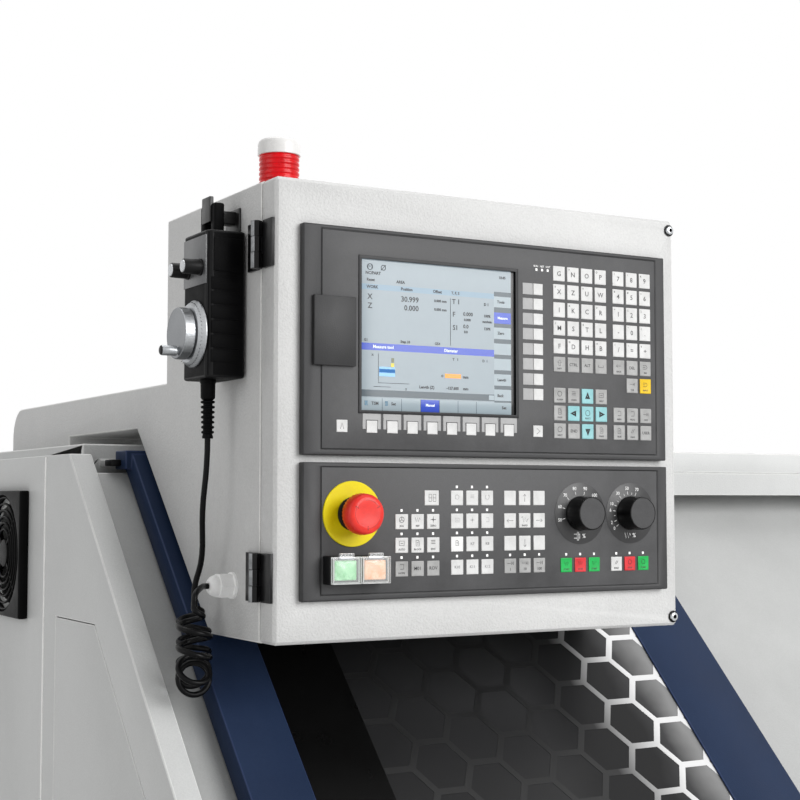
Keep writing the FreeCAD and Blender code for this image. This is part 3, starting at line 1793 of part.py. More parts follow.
# Emergency stop: yellow plate with its neck, and the red mushroom head that travels in the neck.
PLATE_FACE = f"({FOIL_FACE} - 1.6)"
NECK_FACE = f"({FOIL_FACE} - estop_stand + estop_travel + 1)"
collar_solid = joined(
    "collar_solid",
    [
        prism("estop_plate_disc", "y", (ESTOP_X, PLATE_FACE, ESTOP_Z), "1.6", "estop_plate", 24),
        prism(
            "estop_neck_tube",
            "y",
            (ESTOP_X, NECK_FACE, ESTOP_Z),
            f"{FOIL_FACE} - {NECK_FACE}",
            "estop_neck",
            16,
        ),
        prism(
            "estop_sleeve",
            "y",
            (ESTOP_X, NECK_FACE, ESTOP_Z),
            f"{FOIL_BACK} - {NECK_FACE} + 18",
            ESTOP_BORE,
            16,
        ),
    ],
)
STEM = "5"
collar_hole = prism(
    "collar_hole",
    "y",
    (ESTOP_X, f"{NECK_FACE} - 1", ESTOP_Z),
    "40",
    f"{STEM} + running_gap",
    12,
)
node(cut("estop_collar", collar_solid, [collar_hole]))
HEAD_BACK = f"({FOIL_FACE} - estop_stand)"
node(joined(
    "estop_button",
    [
        taper(
            "estop_crown",
            "y",
            (ESTOP_X, f"{HEAD_BACK} - estop_head_depth", ESTOP_Z),
            "4",
            "estop_head - 4",
            "estop_head",
            20,
        ),
        prism(
            "estop_rim",
            "y",
            (ESTOP_X, f"{HEAD_BACK} - estop_head_depth + 4", ESTOP_Z),
            "estop_head_depth - 4",
            "estop_head",
            20,
        ),
        prism("estop_stem", "y", (ESTOP_X, f"{HEAD_BACK} - 1", ESTOP_Z), "25", STEM, 12),
    ],
))

# Two lit push buttons in one black block, each under a clear flip guard.
BLOCK_FACE = f"({FOIL_FACE} - button_stand)"
button_block = block("button_block_front", BUTTONS_X, (BLOCK_FACE, FOIL_FACE), BUTTON_Z)
button_body = block(
    "button_block_body",
    spread(BUTTONS_X, "-1.6"),
    (f"{FOIL_FACE} - 1", f"{FOIL_FACE} + 22"),
    spread(BUTTON_Z, "-1.6"),
)


def button_x(index, inset):
    return (
        f"panel_left + button_left + {index} * button_width + {inset}",
        f"panel_left + button_left + {index + 1} * button_width - ({inset})",
    )


wells = [
    block(
        "button_well",
        button_x(i, "button_frame"),
        (f"{BLOCK_FACE} - 1", f"{FOIL_FACE} + 6"),
        spread(BUTTON_Z, "-button_frame"),
    )
    for i in range(2)
]
node(cut("button_block", joined("button_moulding", [button_block, button_body]), wells))
for i, label in enumerate(("start_button", "hold_button")):
    node(block(
        label,
        button_x(i, "button_frame + seat_gap"),
        (f"{BLOCK_FACE} - lens_proud", f"{FOIL_FACE} + 6 - button_travel - seat_gap"),
        spread(BUTTON_Z, "-button_frame - seat_gap"),
    ))
for i, label in enumerate(("start_guard", "hold_guard")):
    shell = block(
        "guard_shell",
        button_x(i, "0.6"),
        (f"{BLOCK_FACE} - seat_gap - guard_depth", f"{BLOCK_FACE} - seat_gap"),
        spread(BUTTON_Z, "-0.6"),
    )
    room = block(
        "guard_room",
        button_x(i, "0.6 + guard_wall"),
        (f"{BLOCK_FACE} - seat_gap - guard_depth + guard_wall", BLOCK_FACE),
        spread(BUTTON_Z, "-0.6 - guard_wall"),
    )
    tab = block(
        "guard_tab",
        button_x(i, "8"),
        (f"{BLOCK_FACE} - seat_gap - guard_depth", f"{BLOCK_FACE} - seat_gap - guard_depth + 4"),
        (f"{BUTTON_Z[1]} - 0.8", f"{BUTTON_Z[1]} + 2.6"),
    )
    node(joined(label, [cut("guard_hollow", shell, [room]), tab]))

# Override knobs: a round grip on a skirt, with its shaft in the panel.
KNOB_BACK = f"({FOIL_FACE} - seat_gap)"
for i, label in enumerate(("spindle_override_knob", "feed_override_knob")):
    x = knob_x(i)
    node(joined(
        label,
        [
            prism(
                "knob_grip",
                "y",
                (x, f"{KNOB_BACK} - knob_depth", KNOB_Z),
                "knob_depth",
                "knob_radius",
                16,
            ),
            prism("knob_skirt_disc", "y", (x, f"{KNOB_BACK} - 4", KNOB_Z), "4", "knob_skirt", 16),
            prism("knob_shaft", "y", (x, f"{KNOB_BACK} - 1", KNOB_Z), "14", KNOB_BORE, 12),
        ],
    ))

# Signal lamp on the console roof: base, red lens and white cap.
LAMP_BOTTOM = CONSOLE_TOP
node(prism("lamp_base_ring", "z", ("lamp_x", "lamp_y", LAMP_BOTTOM), "lamp_base", "lamp_cap_radius", 20))
node(prism(
    "lamp_lens_drum",
    "z",
    ("lamp_x", "lamp_y", f"{LAMP_BOTTOM} + lamp_base"),
    "lamp_lens",
    "lamp_radius",
    20,
))
CAP_BOTTOM = f"{LAMP_BOTTOM} + lamp_base + lamp_lens"
node(joined(
    "lamp_cap_dome",
    [
        prism("cap_rim", "z", ("lamp_x", "lamp_y", CAP_BOTTOM), "lamp_cap - 4", "lamp_cap_radius", 20),
        taper(
            "cap_crown",
            "z",
            ("lamp_x", "lamp_y", f"{CAP_BOTTOM} + lamp_cap - 4"),
            "4",
            "lamp_cap_radius",
            "lamp_cap_radius - 4",
            20,
        ),
    ],
))

# Hand-held pulse generator, hung by its bail on a wall hook.
PENDANT_FACE = "(pendant_back - pendant_depth)"
PENDANT_TOP = "(pendant_bottom + pendant_height)"
PENDANT_HALF = "pendant_width / 2"
pendant_case = extrusion(
    "pendant_case",
    "XY",
    [
        (PENDANT_FACE, f"pendant_y - {PENDANT_HALF} + pendant_edge"),
        (f"{PENDANT_FACE} + pendant_edge", f"pendant_y - {PENDANT_HALF}"),
        ("pendant_back", f"pendant_y - {PENDANT_HALF}"),
        ("pendant_back", f"pendant_y + {PENDANT_HALF}"),
        (f"{PENDANT_FACE} + pendant_edge", f"pendant_y + {PENDANT_HALF}"),
        (PENDANT_FACE, f"pendant_y + {PENDANT_HALF} - pendant_edge"),
    ],
    "pendant_bottom",
    "pendant_height",
)
BAIL_X = ("pendant_back - 22", "pendant_back - 22 + bail_gauge")
BAIL_OUTER = ("pendant_y - bail_width / 2", "pendant_y + bail_width / 2")
BAIL_TOP = f"({PENDANT_TOP} + bail_height)"
bail_posts = [
    block(
        "bail_post",
        BAIL_X,
        (BAIL_OUTER[0], f"{BAIL_OUTER[0]} + bail_gauge"),
        (f"{PENDANT_TOP} - 1", BAIL_TOP),
    ),
    block(
        "bail_post",
        BAIL_X,
        (f"{BAIL_OUTER[1]} - bail_gauge", BAIL_OUTER[1]),
        (f"{PENDANT_TOP} - 1", BAIL_TOP),
    ),
    block("bail_bar", BAIL_X, BAIL_OUTER, (f"{BAIL_TOP} - bail_gauge", BAIL_TOP)),
]
node(joined("pendant_housing", [pendant_case] + bail_posts))
HOOK_TOP = f"({BAIL_TOP} - bail_gauge - seat_gap)"
HOOK_Y = ("pendant_y - 7", "pendant_y + 7")
node(joined(
    "pendant_hook",
    [
        block(
            "hook_plate",
            ("console_left - 2", "console_left"),
            ("pendant_y - 18", "pendant_y + 18"),
            (f"{PENDANT_TOP} + 2", f"{BAIL_TOP} + 3"),
        ),
        block(
            "hook_arm",
            (f"{BAIL_X[0]} - 6", "console_left - 1"),
            HOOK_Y,
            (f"{HOOK_TOP} - 5", HOOK_TOP),
        ),
        block(
            "hook_lip",
            (f"{BAIL_X[0]} - 6", f"{BAIL_X[0]} - 1.5"),
            HOOK_Y,
            (f"{HOOK_TOP} - 5", f"{HOOK_TOP} + hook_rise"),
        ),
    ],
))
WHEEL_BACK = f"({PENDANT_FACE} - seat_gap)"
CRANK_Y = "(pendant_y - 6)"
node(joined(
    "pendant_handwheel",
    [
        taper(
            "scale_ring",
            "x",
            (f"{WHEEL_BACK} - 7", "pendant_y", "wheel_z"),
            "7",
            "ring_radius - 4",
            "ring_radius",
            24,
        ),
        prism(
            "wheel_disc",
            "x",
            (f"{WHEEL_BACK} - wheel_depth", "pendant_y", "wheel_z"),
            "wheel_depth - 6",
            "wheel_radius",
            24,
        ),
        prism(
            "crank_grip",
            "x",
            (f"{WHEEL_BACK} - wheel_depth - crank_depth", CRANK_Y, "wheel_z - crank_offset"),
            "crank_depth + 1",
            "crank_radius",
            12,
        ),
    ],
))
for label, side in (("axis_selector", "-"), ("step_selector", "+")):
    centre = (f"{WHEEL_BACK} - selector_depth", f"pendant_y {side} selector_spread", "selector_z")
    node(prism(label, "x", centre, "selector_depth", "selector_radius", 12))

# Strain relief under the pendant, and the straight lead that goes down behind the gland.
RELIEF_BOTTOM = "(pendant_bottom - relief_length)"
RELIEF_RIBS = 7
relief_pieces = [taper(
    "relief_core",
    "z",
    ("relief_x", "pendant_y", RELIEF_BOTTOM),
    "relief_length",
    "relief_bottom",
    "relief_top - 1.4",
    8,
)]
for i in range(RELIEF_RIBS):
    start = ("relief_x", "pendant_y", f"{RELIEF_BOTTOM} + 4 + {i} * relief_length / {RELIEF_RIBS}")
    swell = f"relief_bottom + 1.2 + {i} * (relief_top - relief_bottom - 1.2) / {RELIEF_RIBS - 1}"
    relief_pieces.append(prism("relief_rib", "z", start, "3.4", swell, 8))
node(joined("strain_relief", relief_pieces))

# Cable gland on the console's left wall: nut, body and dome.
GLAND_END = "(console_left - gland_length)"
node(joined(
    "cable_gland",
    [
        prism("gland_nut_hex", "x", ("console_left - 5", "gland_y", "gland_z"), "5", "gland_nut", 6),
        prism("gland_body_hex", "x", ("console_left - 15", "gland_y", "gland_z"), "11", "gland_body", 6),
        taper(
            "gland_dome_cap",
            "x",
            (GLAND_END, "gland_y", "gland_z"),
            "gland_length - 14",
            "gland_dome - 2.5",
            "gland_dome",
            24,
        ),
    ],
))


def tube(path_edges, start, direction, sides, turn=0):
    """Sweep a regular section along a path that starts at a point in a direction."""
    radius = value("cord_diameter") / 2
    frame = FreeCAD.Rotation(DIRECTION["z"], direction)
    corners = []
    for i in range(sides):
        angle = 2 * math.pi * i / sides + turn
        corners.append(start + frame.multVec(Vector(
            radius * math.cos(angle),
            radius * math.sin(angle),
            0,
        )))
    section = Part.makePolygon(corners + [corners[0]])
    return Part.Wire(path_edges).makePipeShell([section], True, False)


# The route of the straight lead, from the strain relief's mouth to the top of the curls.
RELIEF_MOUTH = Vector(value("relief_x"), value("pendant_y"), value(RELIEF_BOTTOM))
LEAD_ROUTE = [
    RELIEF_MOUTH,
    RELIEF_MOUTH + Vector(0, 0, -25),
    RELIEF_MOUTH + Vector(-4, 3, -67),
    RELIEF_MOUTH + Vector(5, 20, -112),
    RELIEF_MOUTH + Vector(0, 29, -137),
    RELIEF_MOUTH + Vector(0, 29, -152),
]


def rounded_route(points):
    """Straight runs joined by tangent arcs, each as large as its two runs allow."""
    edges = []
    last = points[0]
    for i in range(1, len(points) - 1):
        before = points[i] - points[i - 1]
        after = points[i + 1] - points[i]
        turn = before.getAngle(after)
        reach = 0.45 * min(before.Length, after.Length)
        radius = reach / math.tan(turn / 2)
        print(f"lead bend {i}: radius {radius:.1f} mm, turn {math.degrees(turn):.1f} degrees")
        start = points[i] - Vector(before).normalize() * reach
        end = points[i] + Vector(after).normalize() * reach
        middle = (start + end) / 2
        centre_way = Vector(middle - points[i]).normalize()
        centre = points[i] + centre_way * (radius / math.cos(turn / 2))
        top = centre - centre_way * radius
        edges.append(Part.LineSegment(last, start).toShape())
        edges.append(Part.Arc(start, top, end).toShape())
        last = end
    edges.append(Part.LineSegment(last, points[-1]).toShape())
    return edges


lead_edges = rounded_route(LEAD_ROUTE)

# The curly cord hangs as a U from the lead to the gland: its centre line is two straight drops and a half
# circle, and its curls are a helix about that line, built of arcs of a quarter turn.
COIL_TOP = LEAD_ROUTE[-1]
COIL_SIDE = Vector(-21, -52, 0).normalize()


def centre_line(share):
    """Point and direction of the coil's centre line at a share of its length."""
    bend = value("curl_bend")
    drop = value("curl_drop")
    arc = math.pi * bend
    run = share * (2 * drop + arc)
    middle = COIL_TOP + COIL_SIDE * bend - DIRECTION["z"] * drop
    if run < drop:
        return COIL_TOP - DIRECTION["z"] * run, -DIRECTION["z"]
    if run < drop + arc:
        angle = (run - drop) / bend
        place = middle - COIL_SIDE * (bend * math.cos(angle)) - DIRECTION["z"] * (bend * math.sin(angle))
        return place, COIL_SIDE * math.sin(angle) - DIRECTION["z"] * math.cos(angle)
    rise = run - drop - arc
    return middle + COIL_SIDE * bend + DIRECTION["z"] * rise, DIRECTION["z"]


def curl_point(share):
    """A point of the curly cord; the curls open and close smoothly within one turn at each end."""
    turns = value("curl_count")
    place, direction = centre_line(min(max(share, 0), 1))
    side = COIL_SIDE.cross(DIRECTION["z"])
    inward = side.cross(direction)
    opening = min(share, 1 - share) * turns
    grown = min(max(opening, 0), 1)
    radius = value("curl_radius") * grown * grown * (3 - 2 * grown)
    angle = 2 * math.pi * turns * share
    return place + side * (radius * math.cos(angle)) + inward * (radius * math.sin(angle))


def curl_way(share):
    step = 1e-5
    ahead = curl_point(min(share + step, 1))
    behind = curl_point(max(share - step, 0))
    return (ahead - behind).normalize()


def biarc(start, start_way, end, end_way):
    """Two arcs that leave the start and reach the end in the given directions."""
    chord = end - start
    ways = start_way + end_way
    a = 2 * (1 - start_way.dot(end_way))
    b = 2 * chord.dot(ways)
    c = -chord.dot(chord)
    reach = -c / b if abs(a) < 1e-9 else (-b + math.sqrt(b * b - 4 * a * c)) / (2 * a)
    first = start + start_way * reach
    second = end - end_way * reach
    joint = (first + second) / 2
    return [arc_between(start, start_way, joint), arc_between(joint, (second - first).normalize(), end)]


def arc_between(start, way, end):
    """The arc from start to end that leaves in the given direction."""
    chord = end - start
    across = chord - way * chord.dot(way)
    if across.Length < 1e-6:
        return Part.LineSegment(start, end).toShape()
    across.normalize()
    radius = chord.dot(chord) / (2 * chord.dot(across))
    centre = start + across * radius
    spoke = (start - centre) + (end - centre)
    spoke.normalize()
    return Part.Arc(start, centre + spoke * radius, end).toShape()


ARCS_PER_TURN = 2
steps = int(value("curl_count")) * ARCS_PER_TURN
shares = [i / steps for i in range(steps + 1)]
knots = [(curl_point(share), curl_way(share)) for share in shares]
gland_mouth = Vector(value(GLAND_END), value("gland_y"), value("gland_z"))
into_gland = DIRECTION["x"]
knots[0] = (knots[0][0], -DIRECTION["z"])
knots[-1] = (knots[-1][0], DIRECTION["z"])
knots.append((gland_mouth - into_gland * value("cord_diameter"), into_gland))
coil_edges = []
for i in range(len(knots) - 1):
    coil_edges += biarc(knots[i][0], knots[i][1], knots[i + 1][0], knots[i + 1][1])
coil_edges.append(Part.LineSegment(knots[-1][0], gland_mouth).toShape())
cord = feature("cord", tube(lead_edges + coil_edges, LEAD_ROUTE[0], LEAD_ROUTE[1] - LEAD_ROUTE[0], 4))
node(cord)


def least_gap():
    """The least distance between turns of the cord that aren't neighbours along it, less its diameter."""
    points = [curl_point(i / 1200) for i in range(1201)]
    turn = 1200 / value("curl_count")
    near = min(
        (points[i] - points[j]).Length
        for i in range(0, 1201, 2)
        for j in range(i + int(turn * 0.6), 1201, 2)
    )
    return near - value("cord_diameter")


print(f"least gap between curls: {least_gap():.2f} mm")
coil_length = sum(edge.Length for edge in coil_edges)
lead_length = sum(edge.Length for edge in lead_edges)
print(f"cord length: lead {lead_length:.0f} mm, curls {coil_length:.0f} mm")

document.recompute()
os.makedirs("parts", exist_ok=True)
for thing in document.Objects:
    if "Invalid" in thing.State or "Error" in thing.State:
        raise RuntimeError(f"{thing.Label} did not compute: {thing.State}")
for piece in NODES:
    if piece.Shape.isNull() or not piece.Shape.isValid():
        raise RuntimeError(f"{piece.Label} has no valid shape")
for piece in NODES:
    piece.Shape.exportStep(f"parts/{piece.Label}.step")
print(f"{len(NODES)} pieces written")
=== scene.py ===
import json
import math

import bpy
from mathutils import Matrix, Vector

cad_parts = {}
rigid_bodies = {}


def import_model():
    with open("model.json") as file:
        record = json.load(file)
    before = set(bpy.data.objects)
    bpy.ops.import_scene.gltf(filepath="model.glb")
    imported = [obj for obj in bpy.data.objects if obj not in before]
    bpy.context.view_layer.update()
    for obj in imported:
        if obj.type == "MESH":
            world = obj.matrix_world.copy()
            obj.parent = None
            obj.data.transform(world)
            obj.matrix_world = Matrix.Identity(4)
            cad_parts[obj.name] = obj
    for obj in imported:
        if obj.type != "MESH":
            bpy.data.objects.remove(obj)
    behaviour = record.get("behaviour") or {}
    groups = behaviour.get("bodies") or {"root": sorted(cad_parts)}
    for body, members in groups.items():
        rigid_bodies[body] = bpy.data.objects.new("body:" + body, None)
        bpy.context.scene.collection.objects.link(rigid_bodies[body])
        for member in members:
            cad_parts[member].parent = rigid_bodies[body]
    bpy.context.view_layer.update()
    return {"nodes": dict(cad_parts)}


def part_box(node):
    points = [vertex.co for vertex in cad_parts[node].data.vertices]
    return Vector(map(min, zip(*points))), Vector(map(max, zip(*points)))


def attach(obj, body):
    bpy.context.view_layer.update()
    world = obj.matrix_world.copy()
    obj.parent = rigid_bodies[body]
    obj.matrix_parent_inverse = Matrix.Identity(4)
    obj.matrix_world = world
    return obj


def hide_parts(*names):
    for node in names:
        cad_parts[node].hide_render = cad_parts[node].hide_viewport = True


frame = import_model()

# The lathe is seen from its left front corner at breast height, looking slightly up at the
# control console, as a person walking up to the machine sees it.
bpy.ops.object.select_all(action="DESELECT")
bpy.ops.object.camera_add(location=(-1.4574, -1.6760, 1.4793),
                          rotation=(math.radians(93.76), 0, math.radians(-29.96)))
camera = bpy.context.object
camera.name = "eye_level_camera"
camera.data.lens = 68.78
camera.data.sensor_width = 36
camera.data.clip_end = 60
bpy.context.scene.camera = camera


# The shop floor under the machine is pale smooth screed. It takes the machine's soft shadow
# and fades into the white backdrop a few metres away from the machine.
def linear(code):
    parts = [int(code[i:i + 2], 16) / 255 for i in (1, 3, 5)]
    return [p / 12.92 if p < 0.04045 else ((p + 0.055) / 1.055) ** 2.4 for p in parts] + [1.0]


def blank_material(name):
    made = bpy.data.materials.new(name)
    made.use_nodes = True
    return made, made.node_tree, made.node_tree.nodes["Principled BSDF"]


def set_sockets(made, values):
    for label, value in values.items():
        made.inputs[label].default_value = value
    return made


def add_node(tree, kind, values=None, **settings):
    made = tree.nodes.new(kind)
    for label, value in settings.items():
        setattr(made, label, value)
    return set_sockets(made, values or {})


def wire(tree, *runs):
    for source, outlet, target, inlet in runs:
        tree.links.new(source.outputs[outlet], target.inputs[inlet])


floor_screed, tree, shader = blank_material("floor_screed")
place = add_node(tree, "ShaderNodeTexCoord")
cloud = add_node(tree, "ShaderNodeTexNoise", {"Scale": 2.5, "Detail": 6})
tone = add_node(tree, "ShaderNodeValToRGB")
for end, position, code in ((0, 0.3, "#e6e6e5"), (1, 0.7, "#f1f1f0")):
    tone.color_ramp.elements[end].position = position
    tone.color_ramp.elements[end].color = linear(code)
shader.inputs["Roughness"].default_value = 0.6
reach = add_node(tree, "ShaderNodeVectorMath", operation="LENGTH")
fade = add_node(tree, "ShaderNodeMapRange", {"From Min": 2.2, "From Max": 4.6})
backdrop = add_node(tree, "ShaderNodeEmission")
blend_out = add_node(tree, "ShaderNodeMixShader")
wire(tree, (place, "Object", cloud, "Vector"), (cloud, "Fac", tone, "Fac"),
     (tone, "Color", shader, "Base Color"), (place, "Object", reach, 0),
     (reach, "Value", fade, "Value"), (fade, "Result", blend_out, "Fac"),
     (shader, "BSDF", blend_out, 1), (backdrop, "Emission", blend_out, 2),
     (blend_out, "Shader", tree.nodes["Material Output"], "Surface"))
bpy.ops.mesh.primitive_circle_add(vertices=64, radius=5, fill_type="NGON")
shop_floor = bpy.context.object
shop_floor.name = "shop_floor"
shop_floor.data.materials.append(floor_screed)

# Soft light comes from large diffusers: a wide one high in front on the right, a weaker one
# on the left and one overhead, in a room that is white wherever it is seen.
world = bpy.data.worlds.new("white_room")
bpy.context.scene.world = world
world.use_nodes = True
tree = world.node_tree
tree.nodes.clear()
seen = add_node(tree, "ShaderNodeBackground", {"Color": (1, 1, 1, 1)})
fill = add_node(tree, "ShaderNodeBackground", {"Color": linear("#f6f6f6"), "Strength": 0.34})
path = add_node(tree, "ShaderNodeLightPath")
either = add_node(tree, "ShaderNodeMath", operation="MAXIMUM")
any_of = add_node(tree, "ShaderNodeMath", operation="MAXIMUM")
choose = add_node(tree, "ShaderNodeMixShader")
out = add_node(tree, "ShaderNodeOutputWorld")
wire(tree, (path, "Is Camera Ray", either, 0), (path, "Is Glossy Ray", either, 1),
     (either, 0, any_of, 0), (path, "Is Transmission Ray", any_of, 1),
     (any_of, 0, choose, "Fac"), (fill, 0, choose, 1), (seen, 0, choose, 2),
     (choose, 0, out, "Surface"))
for name, place, aim, size, power in (
        ("front_diffuser", (0.8, -3.5, 2.7), (-0.5, 0, 1.3), 2.6, 112),
        ("left_diffuser", (-4.6, -0.6, 2.6), (-0.6, 0, 1.2), 2.4, 20),
        ("top_diffuser", (-0.2, 0.4, 4.6), (-0.2, 0.1, 1.0), 3.0, 42)):
    bpy.ops.object.light_add(type="AREA", location=place)
    lamp = bpy.context.object
    lamp.name = name
    lamp.data.shape = "DISK"
    lamp.data.size = size
    lamp.data.energy = power
    lamp.rotation_euler = (Vector(aim) - Vector(place)).to_track_quat("-Z", "Y").to_euler()

# The base is a welded steel box with a chip tray in its top. It is painted satin dark grey,
# and its bends and welded corners are rounded, and painted a little lighter as a highlight.
def shader_group(name, given):
    group = bpy.data.node_groups.new(name, "ShaderNodeTree")
    for label, value in given.items():
        kind = "Float" if isinstance(value, float) else "Vector" if len(value) == 3 else "Color"
        group.interface.new_socket(name=label, in_out="INPUT",
                                   socket_type="NodeSocket" + kind).default_value = value
    for label, kind in (("Colour", "Color"), ("Roughness", "Float"), ("Height", "Float")):
        group.interface.new_socket(name=label, in_out="OUTPUT", socket_type="NodeSocket" + kind)
    return group


def soft_surface():
    tree = shader_group("moulded_surface", {
        "Colour": (0.5, 0.5, 0.5, 1), "Second Colour": (0.4, 0.4, 0.4, 1), "Cloud Size": 0.05,
        "Grain Size": 0.002, "Speckle": 0.1, "Roughness": 0.5, "Roughness Spread": 0.1})
    given = add_node(tree, "NodeGroupInput")
    result = add_node(tree, "NodeGroupOutput")
    place = add_node(tree, "ShaderNodeTexCoord")
    per_cloud = add_node(tree, "ShaderNodeMath", {0: 1.0}, operation="DIVIDE")
    per_grain = add_node(tree, "ShaderNodeMath", {0: 1.0}, operation="DIVIDE")
    cloud = add_node(tree, "ShaderNodeTexNoise", {"Detail": 5, "Roughness": 0.62})
    spread = add_node(tree, "ShaderNodeMapRange", {"From Min": 0.32, "From Max": 0.68})
    grain = add_node(tree, "ShaderNodeTexNoise", {"Detail": 2})
    body = add_node(tree, "ShaderNodeMix", data_type="RGBA")
    centred = add_node(tree, "ShaderNodeMath", {1: 0.5}, operation="SUBTRACT")
    weight = add_node(tree, "ShaderNodeMath", operation="MULTIPLY")
    lift = add_node(tree, "ShaderNodeMath", {1: 1.0}, operation="ADD")
    speck = add_node(tree, "ShaderNodeMix", {"Factor": 1.0}, data_type="RGBA",
                     blend_type="MULTIPLY", clamp_result=False)
    swing = add_node(tree, "ShaderNodeMath", {1: 0.5}, operation="SUBTRACT")
    rough = add_node(tree, "ShaderNodeMath", operation="MULTIPLY_ADD")
    wire(tree, (given, "Cloud Size", per_cloud, 1), (given, "Grain Size", per_grain, 1),
         (place, "Object", cloud, "Vector"), (per_cloud, 0, cloud, "Scale"),
         (cloud, "Fac", spread, "Value"), (place, "Object", grain, "Vector"),
         (per_grain, 0, grain, "Scale"), (spread, "Result", body, "Factor"),
         (given, "Second Colour", body, "A"), (given, "Colour", body, "B"),
         (grain, "Fac", centred, 0), (centred, 0, weight, 0), (given, "Speckle", weight, 1),
         (weight, 0, lift, 0), (body, "Result", speck, "A"), (lift, 0, speck, "B"),
         (speck, "Result", result, "Colour"), (spread, "Result", swing, 0),
         (swing, 0, rough, 0), (given, "Roughness Spread", rough, 1),
         (given, "Roughness", rough, 2), (rough, 0, result, "Roughness"),
         (grain, "Fac", result, "Height"))
    return tree


moulded = soft_surface()


def finish(name, colour, second, cloud=0.05, grain=0.002, speckle=0.1, rough=0.5, spread=0.1,
           relief=0.02, metallic=0.0, coat=0.0, alpha=None, glow=None, specular=0.5):
    made, tree, shader = blank_material(name)
    surface = add_node(tree, "ShaderNodeGroup", node_tree=moulded, values={
        "Colour": linear(colour), "Second Colour": linear(second), "Cloud Size": cloud,
        "Grain Size": grain, "Speckle": speckle, "Roughness": rough, "Roughness Spread": spread})
    bump = add_node(tree, "ShaderNodeBump", {"Strength": 1.0, "Distance": relief * grain})
    wire(tree, (surface, "Colour", shader, "Base Color"),
         (surface, "Roughness", shader, "Roughness"), (surface, "Height", bump, "Height"),
         (bump, "Normal", shader, "Normal"))
    set_sockets(shader, {"Metallic": metallic, "Coat Weight": coat, "Coat Roughness": 0.12,
                         "Specular IOR Level": specular})
    if alpha is not None:
        shader.inputs["Alpha"].default_value = alpha
    if glow is not None:
        wire(tree, (surface, "Colour", shader, "Emission Color"))
        shader.inputs["Emission Strength"].default_value = glow
    return made


def select_only(*pieces):
    bpy.ops.object.select_all(action="DESELECT")
    for piece in pieces:
        piece.select_set(True)
    bpy.context.view_layer.objects.active = pieces[0]


def coated(piece, finishes):
    piece.data.materials.clear()
    for made in finishes:
        piece.data.materials.append(made)


def edit_all():
    bpy.ops.object.mode_set(mode="EDIT")
    bpy.ops.mesh.select_all(action="SELECT")


def leave_edit():
    bpy.ops.object.mode_set(mode="OBJECT")


def from_solid(node, name, body, slot, finishes, rounding=0.0012, steps=2, clamp=False):
    select_only(frame["nodes"][node])
    bpy.ops.object.duplicate()
    piece = bpy.context.object
    bpy.ops.object.parent_clear(type="CLEAR_KEEP_TRANSFORM")
    for label in [label for label in piece.keys() if label.startswith("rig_")]:
        del piece[label]
    piece.name = piece.data.name = name
    coated(piece, finishes)
    for face in piece.data.polygons:
        face.material_index = 0
    edit_all()
    bpy.ops.mesh.remove_doubles(threshold=0.00002)
    bpy.ops.mesh.dissolve_limited(angle_limit=math.radians(0.5))
    leave_edit()
    if rounding:
        edge = piece.modifiers.new("rounding", "BEVEL")
        edge.width = rounding
        edge.segments = steps
        edge.limit_method = "ANGLE"
        edge.angle_limit = math.radians(30)
        edge.use_clamp_overlap = clamp
        edge.material = len(finishes) - 1
        bpy.ops.object.modifier_apply(modifier="rounding")
    bpy.ops.object.shade_smooth_by_angle(angle=math.radians(38))
    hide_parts(node)
    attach(piece, body)
    return piece


base_paint = finish("base_paint", "#54595f", "#494e54", cloud=0.25, grain=0.0022, speckle=0.16,
                    rough=0.42, spread=0.14, relief=0.12)
# The lighter paint on the rounded bevels is a painted highlight.
base_edge_highlight = finish("base_paint_edge_highlight", "#7b8087", "#62676d", cloud=0.06, grain=0.0022, speckle=0.3,
                   rough=0.38, spread=0.2, relief=0.12)
from_solid("base_frame", "welded_base", "machine", "base_paint", [base_paint, base_edge_highlight],
           rounding=0.003)

# The bed is one grey iron casting. Its sides keep the cast skin under grey paint, and the two
# slideways on top are ground bright along their length.
def ground_surface():
    tree = shader_group("cut_metal", {
        "Vector": (0, 0, 0), "Colour": (0.6, 0.6, 0.6, 1), "Second Colour": (0.5, 0.5, 0.5, 1),
        "Line Scale": 900.0, "Roughness": 0.3})
    given = add_node(tree, "NodeGroupInput")
    result = add_node(tree, "NodeGroupOutput")
    lines = add_node(tree, "ShaderNodeTexNoise", {"Detail": 3})
    place = add_node(tree, "ShaderNodeTexCoord")
    cloud = add_node(tree, "ShaderNodeTexNoise", {"Scale": 16, "Detail": 4})
    both = add_node(tree, "ShaderNodeMix", {"Factor": 0.45}, data_type="FLOAT")
    spread = add_node(tree, "ShaderNodeMapRange", {"From Min": 0.36, "From Max": 0.64})
    tone = add_node(tree, "ShaderNodeMix", data_type="RGBA")
    rough = add_node(tree, "ShaderNodeMath", {1: 0.16}, operation="MULTIPLY_ADD")
    wire(tree, (given, "Vector", lines, "Vector"), (given, "Line Scale", lines, "Scale"),
         (place, "Object", cloud, "Vector"), (lines, "Fac", both, "A"), (cloud, "Fac", both, "B"),
         (both, "Result", spread, "Value"), (spread, "Result", tone, "Factor"),
         (given, "Second Colour", tone, "A"), (given, "Colour", tone, "B"),
         (spread, "Result", rough, 0), (given, "Roughness", rough, 2),
         (tone, "Result", result, "Colour"), (rough, 0, result, "Roughness"),
         (lines, "Fac", result, "Height"))
    return tree


cut_metal = ground_surface()


